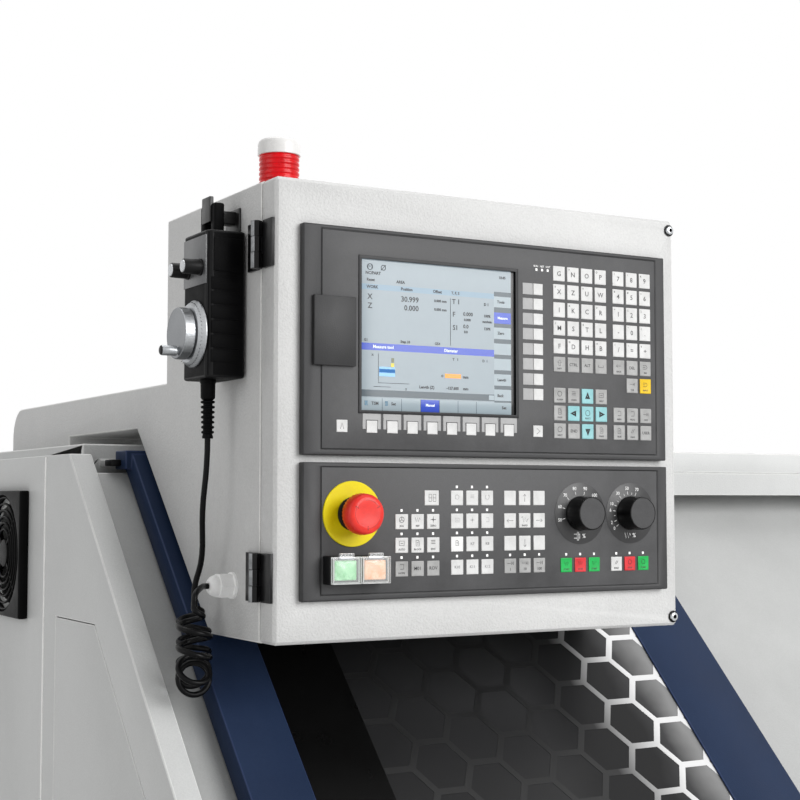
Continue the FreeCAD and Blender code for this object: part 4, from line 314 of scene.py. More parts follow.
def metal(name, colour, second, stretch=(1, 1, 1), lines=900.0, rough=0.25, relief=0.00002):
    made, tree, shader = blank_material(name)
    place = add_node(tree, "ShaderNodeTexCoord")
    turn = add_node(tree, "ShaderNodeMapping", {"Scale": stretch})
    surface = add_node(tree, "ShaderNodeGroup", node_tree=cut_metal, values={
        "Colour": linear(colour), "Second Colour": linear(second), "Line Scale": lines,
        "Roughness": rough})
    bump = add_node(tree, "ShaderNodeBump", {"Distance": relief})
    wire(tree, (place, "Object", turn, "Vector"), (turn, "Vector", surface, "Vector"),
         (surface, "Colour", shader, "Base Color"), (surface, "Roughness", shader, "Roughness"),
         (surface, "Height", bump, "Height"), (bump, "Normal", shader, "Normal"))
    shader.inputs["Metallic"].default_value = 1.0
    return made


def give(piece, index, wanted):
    for face in piece.data.polygons:
        if wanted(face.center, face.normal):
            face.material_index = index


casting_paint = finish("casting_paint", "#8d9496", "#7f8688", cloud=0.09, grain=0.0035,
                       speckle=0.2, rough=0.48, spread=0.15, relief=0.2)
# The rounded edges of the castings take a lighter paint: a painted highlight.
casting_edge_highlight = finish("casting_paint_edge_highlight", "#a3a9ab", "#8f9597", cloud=0.05, grain=0.003,
                      speckle=0.25, rough=0.42, spread=0.15, relief=0.2)
slideway_steel = metal("slideway_steel", "#b9bbbd", "#9ea1a4", stretch=(0.02, 1, 1), rough=0.2)
casting = [casting_paint, slideway_steel, casting_edge_highlight]
bed = from_solid("bed", "cast_bed", "machine", "casting_paint", casting, rounding=0.002)
ways_z = 0.893
give(bed, 1, lambda c, n: c.z > ways_z and n.z > 0.3)

# The headstock is a cast iron box with bored bearing seats. It is painted as the bed is, and
# its front face round the spindle is turned bright.
headstock = from_solid("headstock", "cast_headstock", "machine", "casting_paint", casting,
                       rounding=0.003)
head_face_x, spindle_z, turned_radius = -0.6405, 1.085, 0.085
give(headstock, 1, lambda c, n: c.x > head_face_x
     and math.hypot(c.y, c.z - spindle_z) < turned_radius)

# The spindle is a hollow steel shaft, turned and ground, with a belt pulley at its rear end.
# The chuck body is a thick steel disc with three slots, and its jaws are hardened steel.
turned_steel = metal("turned_steel", "#b4b6b9", "#8f9296", stretch=(1, 0.12, 0.12), lines=1400,
                     rough=0.22)
hard_steel = metal("hard_steel", "#9a9c9f", "#7f8285", stretch=(1, 1, 0.15), lines=1200, rough=0.28)
# The rounded edges of the steel parts take a brighter steel: a painted highlight.
steel_highlight_edges = metal("steel_edge_highlight", "#d5d7d9", "#c0c2c4", rough=0.2)
from_solid("spindle", "spindle", "spindle_unit", "ground_steel",
           [turned_steel, steel_highlight_edges], rounding=0.0008, steps=1)
from_solid("chuck_body", "three_jaw_chuck", "spindle_unit", "ground_steel",
           [turned_steel, steel_highlight_edges])
for number in (1, 2, 3):
    from_solid(f"chuck_jaw_{number}", f"chuck_jaw_{number}_hard", f"jaw_{number}", "ground_steel",
               [hard_steel, steel_highlight_edges], rounding=0.0007)

# The spindle motor is a closed motor with an eight-sided case, painted satin black, with a
# turned steel pulley, and a black rubber belt drives the spindle from it.
motor_paint = finish("motor_paint", "#2a2b2d", "#202123", cloud=0.05, grain=0.002, speckle=0.2,
                     rough=0.4, spread=0.12, relief=0.12)
# The motor case's rounded edges take a lighter paint: a painted highlight.
motor_edge_highlight = finish("motor_paint_edge_highlight", "#4a4c4f", "#38393c", cloud=0.03, grain=0.002,
                    speckle=0.3, rough=0.36, relief=0.1)
belt_rubber = finish("belt_rubber", "#1d1d1e", "#141415", cloud=0.02, grain=0.0012, speckle=0.25,
                     rough=0.7, spread=0.12, relief=0.2)
from_solid("spindle_motor", "spindle_motor_case", "machine", "motor_paint",
           [motor_paint, motor_edge_highlight], rounding=0.0015)
from_solid("motor_pulley", "motor_pulley_turned", "motor_rotor", "ground_steel",
           [turned_steel, steel_highlight_edges], rounding=0.0008, steps=1)
from_solid("drive_belt", "ribbed_belt", "machine", "belt_rubber", [belt_rubber],
           rounding=0.0006, steps=1)

# The carriage and the cross slide are castings with ground faces. The feed screw is a ground
# steel bar, and the turret is a four-sided steel block with a tool bar in each side.
screw_steel = metal("screw_steel", "#a9abad", "#7d8083", stretch=(1, 0.05, 0.05), lines=260,
                    rough=0.2, relief=0.0012)
from_solid("feed_screw", "ball_screw", "screw_unit", "ground_steel",
           [screw_steel, steel_highlight_edges], rounding=0.0005, steps=1)
carriage = from_solid("carriage", "cast_carriage", "carriage_unit", "casting_paint", casting,
                      rounding=0.002)
saddle_z = 0.95
give(carriage, 1, lambda c, n: n.z > 0.9 and c.z > saddle_z)
slide = from_solid("cross_slide", "cast_cross_slide", "slide_unit", "casting_paint", casting,
                   rounding=0.0015)
give(slide, 1, lambda c, n: n.z > 0.9)
from_solid("turret", "tool_turret", "turret_unit", "ground_steel",
           [hard_steel, steel_highlight_edges], rounding=0.001)

# The tailstock is cast and painted like the headstock and sits on the ways. It carries a
# ground steel quill with a centre point, which slides in its bore.
from_solid("tailstock", "cast_tailstock", "tailstock_unit", "casting_paint", casting,
           rounding=0.002)
from_solid("tail_quill", "ground_quill", "quill_unit", "ground_steel",
           [turned_steel, steel_highlight_edges], rounding=0.0007, steps=1)

# The guard is folded from 3 mm sheet steel and powder coated in a fine textured light grey.
# Its folds are painted lighter as a highlight, and a seam runs down the left side where
# sheets meet, drawn as a white strip that is a painted highlight.
guard_paint = finish("guard_paint", "#d4d5d4", "#cccdcc", cloud=0.12, grain=0.0016, speckle=0.16,
                     rough=0.5, spread=0.1, relief=0.16)
guard_fold_highlight = finish("guard_paint_fold_highlight", "#ebecea", "#dededd", cloud=0.05, grain=0.0016,
                    speckle=0.18, rough=0.42, spread=0.1, relief=0.14)
# A near-white paint that glows a little: the painted highlight along the seam's edge.
seam_highlight_paint = finish("seam_highlight_paint", "#f6f6f4", "#e6e6e4", cloud=0.02, grain=0.003, speckle=0.1,
                    rough=0.4, relief=0.3, glow=0.15)
# The front guard below the console takes a darker grey than the other guards: painted shade where
# the console shades it.
apron_painted_shade = finish("apron_painted_shade", "#bcbdbc", "#b3b4b3", cloud=0.12, grain=0.0016, speckle=0.16,
                     rough=0.52, spread=0.1, relief=0.16)
for solid, name, paint, fold_radius in (("left_housing", "left_guard", guard_paint, 0.0016),
                                        ("right_housing", "right_guard", guard_paint, 0.0016),
                                        ("front_cover", "front_guard", apron_painted_shade, 0.0012),
                                        ("canopy", "roof_guard", guard_paint, 0.0016)):
    from_solid(solid, name, "machine", "enclosure_paint", [paint, guard_fold_highlight],
               rounding=fold_radius)


def settle():
    bpy.ops.object.transform_apply(location=True, rotation=True, scale=True)


def dressed(piece, name, finishes, body):
    piece.name = piece.data.name = name
    coated(piece, finishes)
    bpy.ops.object.shade_smooth_by_angle(angle=math.radians(38))
    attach(piece, body)
    return piece


def bar(name, low, high, finishes, body, rounding=0.0006, steps=2):
    bpy.ops.object.select_all(action="DESELECT")
    size = [b - a for a, b in zip(low, high)]
    middle = [(a + b) / 2 for a, b in zip(low, high)]
    bpy.ops.mesh.primitive_cube_add(size=1, location=middle, scale=size)
    piece = bpy.context.object
    settle()
    edit_all()
    bpy.ops.mesh.bevel(offset=rounding, segments=steps, affect="EDGES")
    leave_edit()
    return dressed(piece, name, finishes, body)


bar("left_side_seam_highlight", (-0.9511, -0.0108, 0.642), (-0.9495, -0.0080, 1.527),
    [seam_highlight_paint], "machine", rounding=0.0005)

# The door in the left side is sheet steel in the guard's paint. It hangs on a pin at its rear
# edge and covers the drive.
from_solid("access_door", "drive_access_door", "access_leaf", "enclosure_paint",
           [guard_paint, guard_fold_highlight], rounding=0.001)

# The electric cabinet at the back of the canopy is closed by a hinged door, folded from sheet
# steel in the same paint.
from_solid("cabinet_door", "rear_cabinet_door", "cabinet_leaf", "enclosure_paint",
           [guard_paint, guard_fold_highlight], rounding=0.0016)

# The sliding work door is a folded steel leaf, powder coated navy, that hangs from a bar and
# runs in a track under the opening. A black moulded handle is screwed to its lower right.
door_navy = finish("door_navy", "#22314c", "#1d2b45", cloud=0.1, grain=0.0014, speckle=0.2,
                   rough=0.5, spread=0.1, relief=0.14, specular=0.12)
# The lighter navy on the door's rounded folds is a painted highlight.
door_fold_highlight = finish("door_navy_fold_highlight", "#27375a", "#223151", cloud=0.05, grain=0.0014,
                   speckle=0.25, rough=0.46, spread=0.1, relief=0.12, specular=0.25)
black_plastic = finish("black_plastic", "#121213", "#0b0b0c", cloud=0.02, grain=0.0011,
                       speckle=0.25, rough=0.42, spread=0.12, relief=0.14, specular=0.17)
from_solid("sliding_door", "sliding_work_door", "work_door", "door_paint",
           [door_navy, door_fold_highlight])
from_solid("door_handle", "door_pull_handle", "work_door", "black_plastic",
           [black_plastic], rounding=0.004, steps=3, clamp=True)

# The pane in the door is 6 mm tinted polycarbonate, printed dark behind, with a painted
# reflection that makes it paler towards its right edge, and a plain black field down its left side.
pane_left, pane_right = -0.743, -0.361
pane_tint_and_reflection, tree, shader = blank_material("pane_tint_and_reflection")
place = add_node(tree, "ShaderNodeTexCoord")
split = add_node(tree, "ShaderNodeSeparateXYZ")
along = add_node(tree, "ShaderNodeMapRange", {"From Min": pane_left, "From Max": pane_right})
cloud = add_node(tree, "ShaderNodeTexNoise", {"Scale": 9, "Detail": 4})
shift = add_node(tree, "ShaderNodeMath", {1: 0.5}, operation="SUBTRACT")
uneven = add_node(tree, "ShaderNodeMath", {1: 0.2}, operation="MULTIPLY_ADD")
shade = add_node(tree, "ShaderNodeValToRGB")
# The ramp follows the pane's brightness across the window; its soft light bands and pale right end
# are painted reflection.
for position, code in ((0.3, "#262627"), (0.5, "#2c2c2d"), (0.62, "#1b1b1c"), (0.82, "#1a1a1b"),
                       (0.9, "#3a3a3b")):
    shade.color_ramp.elements.new(position).color = linear(code)
shade.color_ramp.elements[0].color = linear("#1c1c1d")
shade.color_ramp.elements[-1].color = linear("#8a8a8a")
smear = add_node(tree, "ShaderNodeMapRange", {"To Min": 0.26, "To Max": 0.4})
shader.inputs["Specular IOR Level"].default_value = 0.2
wire(tree, (place, "Object", split, 0), (split, "X", along, "Value"),
     (place, "Object", cloud, "Vector"), (cloud, "Fac", shift, 0), (shift, 0, uneven, 0),
     (along, "Result", uneven, 2), (uneven, 0, shade, "Fac"),
     (shade, "Color", shader, "Base Color"), (cloud, "Fac", smear, "Value"),
     (smear, "Result", shader, "Roughness"))
pane_black = finish("pane_black", "#040404", "#030303", cloud=0.05, grain=0.003, speckle=0.1,
                    rough=0.3, spread=0.1, relief=0.02, specular=0.1)
pane = from_solid("door_window", "door_window_pane", "work_door", "window_pane",
                  [pane_tint_and_reflection, pane_black, pane_tint_and_reflection], rounding=0)
edit_all()
bpy.ops.mesh.bisect(plane_co=(pane_left, 0, 0), plane_no=(1, 0, 0))
leave_edit()
give(pane, 1, lambda c, n: c.x < pane_left)

# Over the pane lies a printed honeycomb of 7 mm walls round cells 57 mm high, nearly black
# on the left and white on the right, trimmed to the window in the door.
comb_ink, tree, shader = blank_material("comb_ink")
place = add_node(tree, "ShaderNodeTexCoord")
split = add_node(tree, "ShaderNodeSeparateXYZ")
along = add_node(tree, "ShaderNodeMapRange", {"From Min": -0.482, "From Max": -0.402})
shade = add_node(tree, "ShaderNodeValToRGB")
shade.color_ramp.elements[0].color = linear("#0e0e0f")
shade.color_ramp.elements[1].color = linear("#e8e8e8")
cloud = add_node(tree, "ShaderNodeTexNoise", {"Scale": 14})
smear = add_node(tree, "ShaderNodeMapRange", {"To Min": 0.3, "To Max": 0.5})
wire(tree, (place, "Object", split, 0), (split, "X", along, "Value"),
     (along, "Result", shade, "Fac"), (shade, "Color", shader, "Base Color"),
     (place, "Object", cloud, "Vector"), (cloud, "Fac", smear, "Value"),
     (smear, "Result", shader, "Roughness"))
cell_side = 0.033
cell_high = cell_side * math.sqrt(3)
bpy.ops.object.select_all(action="DESELECT")
bpy.ops.mesh.primitive_circle_add(vertices=6, radius=cell_side, fill_type="NGON",
                                  rotation=(0, 0, math.radians(30)))
cell = bpy.context.object
settle()
edit_all()
bpy.ops.mesh.inset(thickness=0.0035)
bpy.ops.mesh.delete(type="FACE")
leave_edit()
cells = [cell]
for column in range(10):
    for row in range(9):
        copy = cell.copy()
        copy.data = cell.data.copy()
        bpy.context.collection.objects.link(copy)
        copy.location = (column * 1.5 * cell_side, (row - 0.5 * (column % 2)) * cell_high, 0)
        cells.append(copy)
select_only(*cells[1:])
bpy.data.objects.remove(cell)
bpy.ops.object.join()
comb = bpy.context.object
comb.name = comb.data.name = "honeycomb_print"
comb.location = (-0.779, -0.008, 0)
settle()
edit_all()
bpy.ops.mesh.remove_doubles(threshold=0.0001)
for point, away in (((pane_left, 0, 0), (-1, 0, 0)), ((pane_right, 0, 0), (1, 0, 0)),
                    ((0, 0, 0), (0, -1, 0)), ((0, 0.28 * math.sqrt(2), 0), (0, 1, 0))):
    bpy.ops.mesh.select_all(action="SELECT")
    bpy.ops.mesh.bisect(plane_co=point, plane_no=away, clear_outer=True)
leave_edit()
print_depth = comb.modifiers.new("print_depth", "SOLIDIFY")
print_depth.thickness = 0.0003
print_depth.offset = 1
bpy.ops.object.modifier_apply(modifier="print_depth")
comb.rotation_euler = (math.radians(45), 0, 0)
comb.location = (0, -0.48276, 1.150)
settle()
comb.data.materials.append(comb_ink)
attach(comb, "work_door")

# A small stop moulded in black plastic is screwed to the end of the bar that the door hangs
# from, and travels with the door.
bar("door_stop", (-0.9045, -0.094, 1.5165), (-0.893, -0.072, 1.5235),
    [black_plastic], "work_door", rounding=0.0015)

# The fan guard is moulded in black nylon: a square frame with six concentric rings on four
# ribs round a hub. Behind it the fan's blades are the same black.
def turned(name, place, heading, steps, finishes, body, sides=32):
    bpy.ops.object.select_all(action="DESELECT")
    bpy.ops.mesh.primitive_circle_add(vertices=sides, radius=steps[0][1], fill_type="NGON")
    piece = bpy.context.object
    edit_all()
    rise, radius = steps[0]
    for next_rise, next_radius in steps[1:]:
        bpy.ops.mesh.extrude_region_move(
            TRANSFORM_OT_translate={"value": (0, 0, next_rise - rise)})
        bpy.ops.transform.resize(value=(next_radius / radius, next_radius / radius, 1),
                                 center_override=(0, 0, 0))
        rise, radius = next_rise, next_radius
    bpy.ops.mesh.select_all(action="SELECT")
    bpy.ops.mesh.normals_make_consistent(inside=False)
    leave_edit()
    piece.rotation_mode = "QUATERNION"
    piece.rotation_quaternion = Vector((0, 0, 1)).rotation_difference(Vector(heading))
    piece.location = place
    settle()
    return dressed(piece, name, finishes, body)


def joined(name, parts, body):
    select_only(*parts)
    bpy.ops.object.join()
    piece = bpy.context.object
    piece.name = piece.data.name = name
    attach(piece, body)
    return piece


fan_y, fan_z = 0.126, 1.4175
guard_nylon = finish("guard_nylon", "#0a0a0b", "#060606", cloud=0.02, grain=0.0012, speckle=0.3,
                     rough=0.46, spread=0.12, relief=0.14, specular=0.07)
guard_frame = bar("fan_guard_frame", (-0.961, 0.053, 1.3445), (-0.950, 0.199, 1.4905),
                  [guard_nylon], "machine", rounding=0.002, steps=3)
bpy.ops.object.select_all(action="DESELECT")
bpy.ops.mesh.primitive_cylinder_add(vertices=56, radius=0.0685, depth=0.05,
                                    location=(-0.950, fan_y, fan_z),
                                    rotation=(0, math.radians(90), 0))
hole = bpy.context.object
select_only(guard_frame)
opening = guard_frame.modifiers.new("opening", "BOOLEAN")
opening.object = hole
opening.operation = "DIFFERENCE"
opening.solver = "EXACT"
bpy.ops.object.modifier_apply(modifier="opening")
bpy.data.objects.remove(hole)
guard_parts = [guard_frame]
for radius in (0.0655, 0.0580, 0.0505, 0.0430, 0.0355, 0.0280):
    ring_middle = (-0.9578, fan_y, fan_z)
    bpy.ops.object.select_all(action="DESELECT")
    bpy.ops.mesh.primitive_torus_add(major_radius=radius, minor_radius=0.0013, major_segments=44,
                                     minor_segments=8, location=ring_middle,
                                     rotation=(0, math.radians(90), 0))
    ring = bpy.context.object
    settle()
    edit_all()
    bpy.ops.transform.resize(value=(1.5, 1, 1), center_override=ring_middle)
    leave_edit()
    ring.data.materials.append(guard_nylon)
    bpy.ops.object.shade_smooth()
    guard_parts.append(ring)
guard_parts.append(turned("fan_guard_hub", (-0.9535, fan_y, fan_z), (-1, 0, 0),
                          [(0, 0.0165), (0.004, 0.0165), (0.0055, 0.0155), (0.006, 0.0125)],
                          [guard_nylon], "machine", sides=36))
for quarter in range(4):
    rib = bar("fan_guard_rib", (-0.9585, -0.0012, 0.014), (-0.9535, 0.0012, 0.0695),
              [guard_nylon], "machine", rounding=0.0005)
    rib.rotation_euler = (math.radians(45 + 90 * quarter) - math.radians(90), 0, 0)
    rib.location = (0, fan_y, fan_z)
    settle()
    guard_parts.append(rib)
fan_guard = joined("fan_guard_grille", guard_parts, "machine")
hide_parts("fan_guard")
from_solid("fan_rotor", "fan_blades", "fan", "black_plastic", [guard_nylon],
           rounding=0.0005, steps=1)

# The console is a folded steel box on a hollow arm that stands on the roof and carries the
# cables. Its folds are painted lighter as a highlight, a pale strip along its front edge is a
# painted highlight on the shell's flange, and a beacon stands on its top.
console_paint = finish("console_paint", "#d6d6d5", "#cdcdcc", cloud=0.09, grain=0.0019,
                       speckle=0.2, rough=0.5, spread=0.1, relief=0.26)
console_fold_highlight = finish("console_paint_fold_highlight", "#efefed", "#e2e2e0", cloud=0.03, grain=0.0019,
                      speckle=0.18, rough=0.42, spread=0.1, relief=0.2)
from_solid("console_shell", "console_box_and_arm", "machine", "enclosure_paint",
           [console_paint, console_fold_highlight], rounding=0.0016)
# A near-white strip in the gap behind the door's edge stands for the painted highlight on the
# shell's flange.
flange_highlight_strip = finish("flange_highlight_strip", "#fbfbf8", "#ececea", cloud=0.012, grain=0.0012, speckle=0.2,
                   rough=0.6, relief=0.3)
bar("console_flange_highlight", (-0.8757, -0.4136, 1.3525), (-0.8746, -0.4112, 1.7700),
    [flange_highlight_strip], "machine", rounding=0.0004)

# The console's front is a thick door in the same paint, with chamfered edges, hung on two
# black hinges on its left and held by two cap screws with washers on its right.
from_solid("console_door", "console_front_door", "console_leaf",
           "enclosure_paint", [console_paint, console_fold_highlight], rounding=0.0014,
           clamp=True)
hinge_black = finish("hinge_black", "#060607", "#0a0a0b", cloud=0.01, grain=0.0008, speckle=0.3,
                     rough=0.34, spread=0.15, relief=0.06, specular=0.22)
# The hinges' rounded edges take a lighter metal: a painted highlight.
hinge_edge_highlight = finish("hinge_bevel_highlight", "#3a3b3d", "#1f2021", cloud=0.004, grain=0.0006,
                    speckle=0.4, rough=0.3, relief=0.05, metallic=0.6)
hinge_knuckle_highlight = finish("hinge_knuckle_highlight_grey", "#8d8f91", "#6f7173", cloud=0.006, grain=0.0008,
                     speckle=0.3, rough=0.34, spread=0.15, relief=0.05, metallic=0.5)
knuckle_x = -0.8835
for solid, name, body in (("hinge_fixed_leaves", "fixed_hinge_leaves", "machine"),
                          ("hinge_door_leaves", "door_hinge_leaves", "console_leaf")):
    leaves = from_solid(solid, name, body, "hinge_black", [hinge_black, hinge_knuckle_highlight, hinge_edge_highlight],
                        rounding=0.0005, clamp=True)
    # Knuckle faces turned to the front left are painted satin grey: a painted highlight on the
    # barrels.
    give(leaves, 1, lambda c, n: c.x < knuckle_x and n.x < -0.35 and n.y < -0.35)
    select_only(leaves)
    bpy.ops.object.shade_smooth_by_angle(angle=math.radians(50))
chrome = metal("bright_chrome", "#d3d5d7", "#b2b5b8", lines=700, rough=0.08, relief=0.00001)
screw_parts = []
screw_x, socket_y, socket_radius = -0.4215, -0.44295, 0.0021
for height in (1.7612, 1.3600):
    head = turned("cap_screw", (screw_x, -0.442, height), (0, -1, 0),
                  [(0, 0.0058), (0.0005, 0.0061), (0.0007, 0.0045), (0.0010, 0.0043),
                   (0.0028, 0.0043), (0.0033, 0.0037), (0.0034, 0.0021), (0.0012, 0.0020)],
                  [chrome, black_plastic], "console_leaf", sides=24)
    give(head, 1, lambda c, n: c.y > socket_y
         or math.hypot(c.x - screw_x, c.z - height) < socket_radius)
    screw_parts.append(head)
cap_screws = joined("console_cap_screws", screw_parts, "console_leaf")
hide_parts("door_screws")

# The operator panel is moulded in dark grey glass-filled plastic, mottled and matt, with a
# broad grip edge on its left and a shallow pocket for the keypad foil.
panel_plastic = finish("panel_plastic", "#464647", "#3a3a3b", cloud=0.05, grain=0.0012,
                       speckle=0.3, rough=0.5, spread=0.14, relief=0.14, specular=0.28)
panel_painted_shade = finish("panel_plastic_painted_shade", "#39393a", "#2b2b2c", cloud=0.03, grain=0.0012,
                    speckle=0.3, rough=0.4, spread=0.12, relief=0.1, specular=0.28)
grip_x, panel_front = -0.8334, -0.4495
for panel in ("operator_panel", "control_panel"):
    moulding = from_solid(panel, panel + "_body", "console_leaf", "black_plastic",
                          [panel_plastic, panel_painted_shade])
    # The panels' sides, rounded edges and the grip strip on the left take a darker grey: painted
    # shade.
    give(moulding, 1, lambda c, n: n.y > -0.9 or (c.x < grip_x and c.y < panel_front))


def pick(piece, kind, wanted):
    bpy.ops.object.mode_set(mode="EDIT")
    bpy.ops.mesh.select_mode(type=kind)
    bpy.ops.mesh.select_all(action="DESELECT")
    leave_edit()
    for part in piece.data.polygons if kind == "FACE" else piece.data.vertices:
        part.select = wanted(part)
    bpy.ops.object.mode_set(mode="EDIT")


def sheet_with_hole(name, field, hole, front, depth, finishes, body):
    bpy.ops.object.select_all(action="DESELECT")
    left, right, low, high = field
    bpy.ops.mesh.primitive_plane_add(size=1, location=((left + right) / 2, front, (low + high) / 2),
                                     rotation=(math.radians(90), 0, 0))
    piece = bpy.context.object
    piece.scale = (right - left, high - low, 1)
    settle()
    if hole:
        bpy.ops.object.mode_set(mode="EDIT")
        for point, facing in (((hole[0], 0, 0), (1, 0, 0)), ((hole[1], 0, 0), (1, 0, 0)),
                              ((0, 0, hole[2]), (0, 0, 1)), ((0, 0, hole[3]), (0, 0, 1))):
            bpy.ops.mesh.select_all(action="SELECT")
            bpy.ops.mesh.bisect(plane_co=point, plane_no=facing)
        pick(piece, "FACE", lambda face: hole[0] < face.center.x < hole[1]
             and hole[2] < face.center.z < hole[3])
        bpy.ops.mesh.delete(type="FACE")
        leave_edit()
    wall = piece.modifiers.new("wall", "SOLIDIFY")
    wall.thickness = depth
    wall.offset = -1
    bpy.ops.object.modifier_apply(modifier="wall")
    rim = piece.modifiers.new("rim", "BEVEL")
    rim.width = 0.00025
    rim.segments = 2
    bpy.ops.object.modifier_apply(modifier="rim")
    return dressed(piece, name, finishes, body)


# The keypad foils are thin printed polyester in the same grey, laid in the panels' pockets so
# that a fine groove shows all round them.
foil_grey = finish("foil_grey", "#535354", "#414142", cloud=0.06, grain=0.001, speckle=0.3,
                   rough=0.46, spread=0.14, relief=0.08, specular=0.28)
operator_foil = sheet_with_hole("operator_foil", (-0.8318, -0.4477, 1.5263, 1.7256),
                                (-0.7916, -0.6202, 1.5616, 1.7023), -0.4498, 0.0009,
                                [foil_grey], "console_leaf")
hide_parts("operator_keypad")
control_foil = sheet_with_hole("control_foil", (-0.8318, -0.4477, 1.3951, 1.5092), None,
                               -0.4498, 0.0009, [foil_grey], "console_leaf")
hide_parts("control_keypad")

# The flat display sits behind a thin dark frame. Its picture is a pale blue page with two
# blue title bars, a column and a row of soft key fields, and a sketch of a turned part.
frame_plastic = finish("display_frame_plastic", "#252527", "#1b1b1d", cloud=0.02, grain=0.001,
                       speckle=0.2, rough=0.4, relief=0.08, specular=0.25)
sheet_with_hole("display_frame", (-0.7945, -0.6178, 1.5588, 1.7049),
                (-0.7914, -0.6209, 1.5619, 1.7018), -0.4506, 0.0015,
                [frame_plastic], "console_leaf")


def lit(name, code, second, glow=0.3):
    return finish(name, code, second, cloud=0.16, grain=0.02, speckle=0.04, rough=0.25,
                  spread=0.05, relief=0.0, glow=glow)


pale, band, blue, slate, black, soft_key = range(6)
page = [lit("page_pale", "#838f96", "#7d8990"), lit("page_band", "#778fa0", "#708899"),
        lit("page_blue", "#2143b0", "#1c3ca6"), lit("page_slate", "#34444c", "#2d3c44"),
        lit("page_black", "#0c0d10", "#08090b", glow=0.0), lit("page_key", "#8d9aa0", "#86939a")]
shown = (-0.7896, -0.6222, 1.5636, 1.7003)
wide = shown[1] - shown[0]
tall = shown[3] - shown[2]
display = sheet_with_hole("display_page", (-0.7920, -0.6200, 1.5612, 1.7025), None, -0.4488,
                          0.0045, page, "console_leaf")
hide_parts("display_screen")
column_at, column_end, row_at = 0.863, 0.98, 0.928
soft_rows = [(0.175, 0.252), (0.289, 0.367), (0.396, 0.477), (0.509, 0.588), (0.617, 0.698),
             (0.727, 0.808), (0.835, 0.915)]
row_cuts = [cut for row in soft_rows for cut in row]
row_cuts += [0.142, 0.157, 0.195, 0.557, 0.605, 0.873, 0.920, row_at]
column_cuts = [column_at, column_end] + [column_at * share / 7 for share in range(1, 7)]
bpy.ops.object.mode_set(mode="EDIT")
for share in sorted(set(row_cuts)):
    bpy.ops.mesh.select_all(action="SELECT")
    bpy.ops.mesh.bisect(plane_co=(0, 0, shown[3] - share * tall), plane_no=(0, 0, 1))
for share in column_cuts:
    for edge in ((-0.0015, 0.0015) if share < 0.86 else (0,)):
        bpy.ops.mesh.select_all(action="SELECT")
        bpy.ops.mesh.bisect(plane_co=(shown[0] + (share + edge) * wide, 0, 0), plane_no=(1, 0, 0))
leave_edit()
for face in display.data.polygons:
    across = (face.center.x - shown[0]) / wide
    down = (shown[3] - face.center.z) / tall
    if across > column_end or face.normal.y > -0.5:
        face.material_index = black
    elif down > row_at:
        between = min(abs(across - column_at * share / 7) for share in range(1, 8)) < 0.0016
        fourth = column_at * 3 / 7 < across < column_at * 4 / 7
        face.material_index = slate if between and across < 0.86 else blue if fourth else soft_key
    elif across > column_at:
        if down < 0.142:
            face.material_index = pale
        elif any(a < down < b for a, b in soft_rows):
            face.material_index = blue if 0.289 < down < 0.367 else soft_key
        else:
            face.material_index = slate
    elif 0.157 < down < 0.195:
        face.material_index = band
    elif 0.557 < down < 0.605:
        face.material_index = blue
    elif 0.873 < down < 0.920:
        face.material_index = slate
    else:
        face.material_index = pale

# The keys are low domed caps under the foil, each with a rounded rim and a slightly hollow
# face. One cap is shaped first, and every other key is a copy of it at its own size.
panel_left = -0.851
operator_top = 1.730
control_top = 1.5137
foil_front = -0.4498
key_rise = 0.0009
cap_depth = 0.0018
full = (14.2, 14.8)
bpy.ops.object.select_all(action="DESELECT")
bpy.ops.mesh.primitive_cube_add(size=1, scale=(full[0] / 1000, cap_depth, full[1] / 1000))
first_cap = bpy.context.object
settle()
edit_all()
bpy.ops.mesh.bevel(offset=0.00055, segments=2, affect="EDGES")
pick(first_cap, "FACE", lambda face: face.normal.y < -0.99 and face.area > 0.0001)
bpy.ops.mesh.inset(thickness=0.0009)
bpy.ops.transform.translate(value=(0, 0.00018, 0))
leave_edit()
bpy.ops.object.shade_smooth_by_angle(angle=math.radians(38))


def key_block(start, size, pitch, columns, rows, top, skip=()):
    made = []
    for row in range(rows):
        for column in range(columns):
            if (column, row) in skip:
                continue
            copy = first_cap.copy()
            copy.data = first_cap.data.copy()
            bpy.context.collection.objects.link(copy)
            copy.scale = (size[0] / full[0], 1, size[1] / full[1])
            copy.location = (panel_left + (start[0] + column * pitch[0]) / 1000,
                             foil_front - key_rise + cap_depth / 2,
                             top - (start[1] + row * pitch[1]) / 1000)
            made.append(copy)
    return made


def keys(name, blocks, made):
    caps = [cap for block in blocks for cap in block]
    for cap in caps:
        coated(cap, [made])
    select_only(*caps)
    settle()
    return joined(name, caps, "console_leaf")


def key_finish(name, colour, second):
    return finish(name, colour, second, cloud=0.012, grain=0.0008, speckle=0.18, rough=0.42,
                  spread=0.12, relief=0.06, specular=0.3)


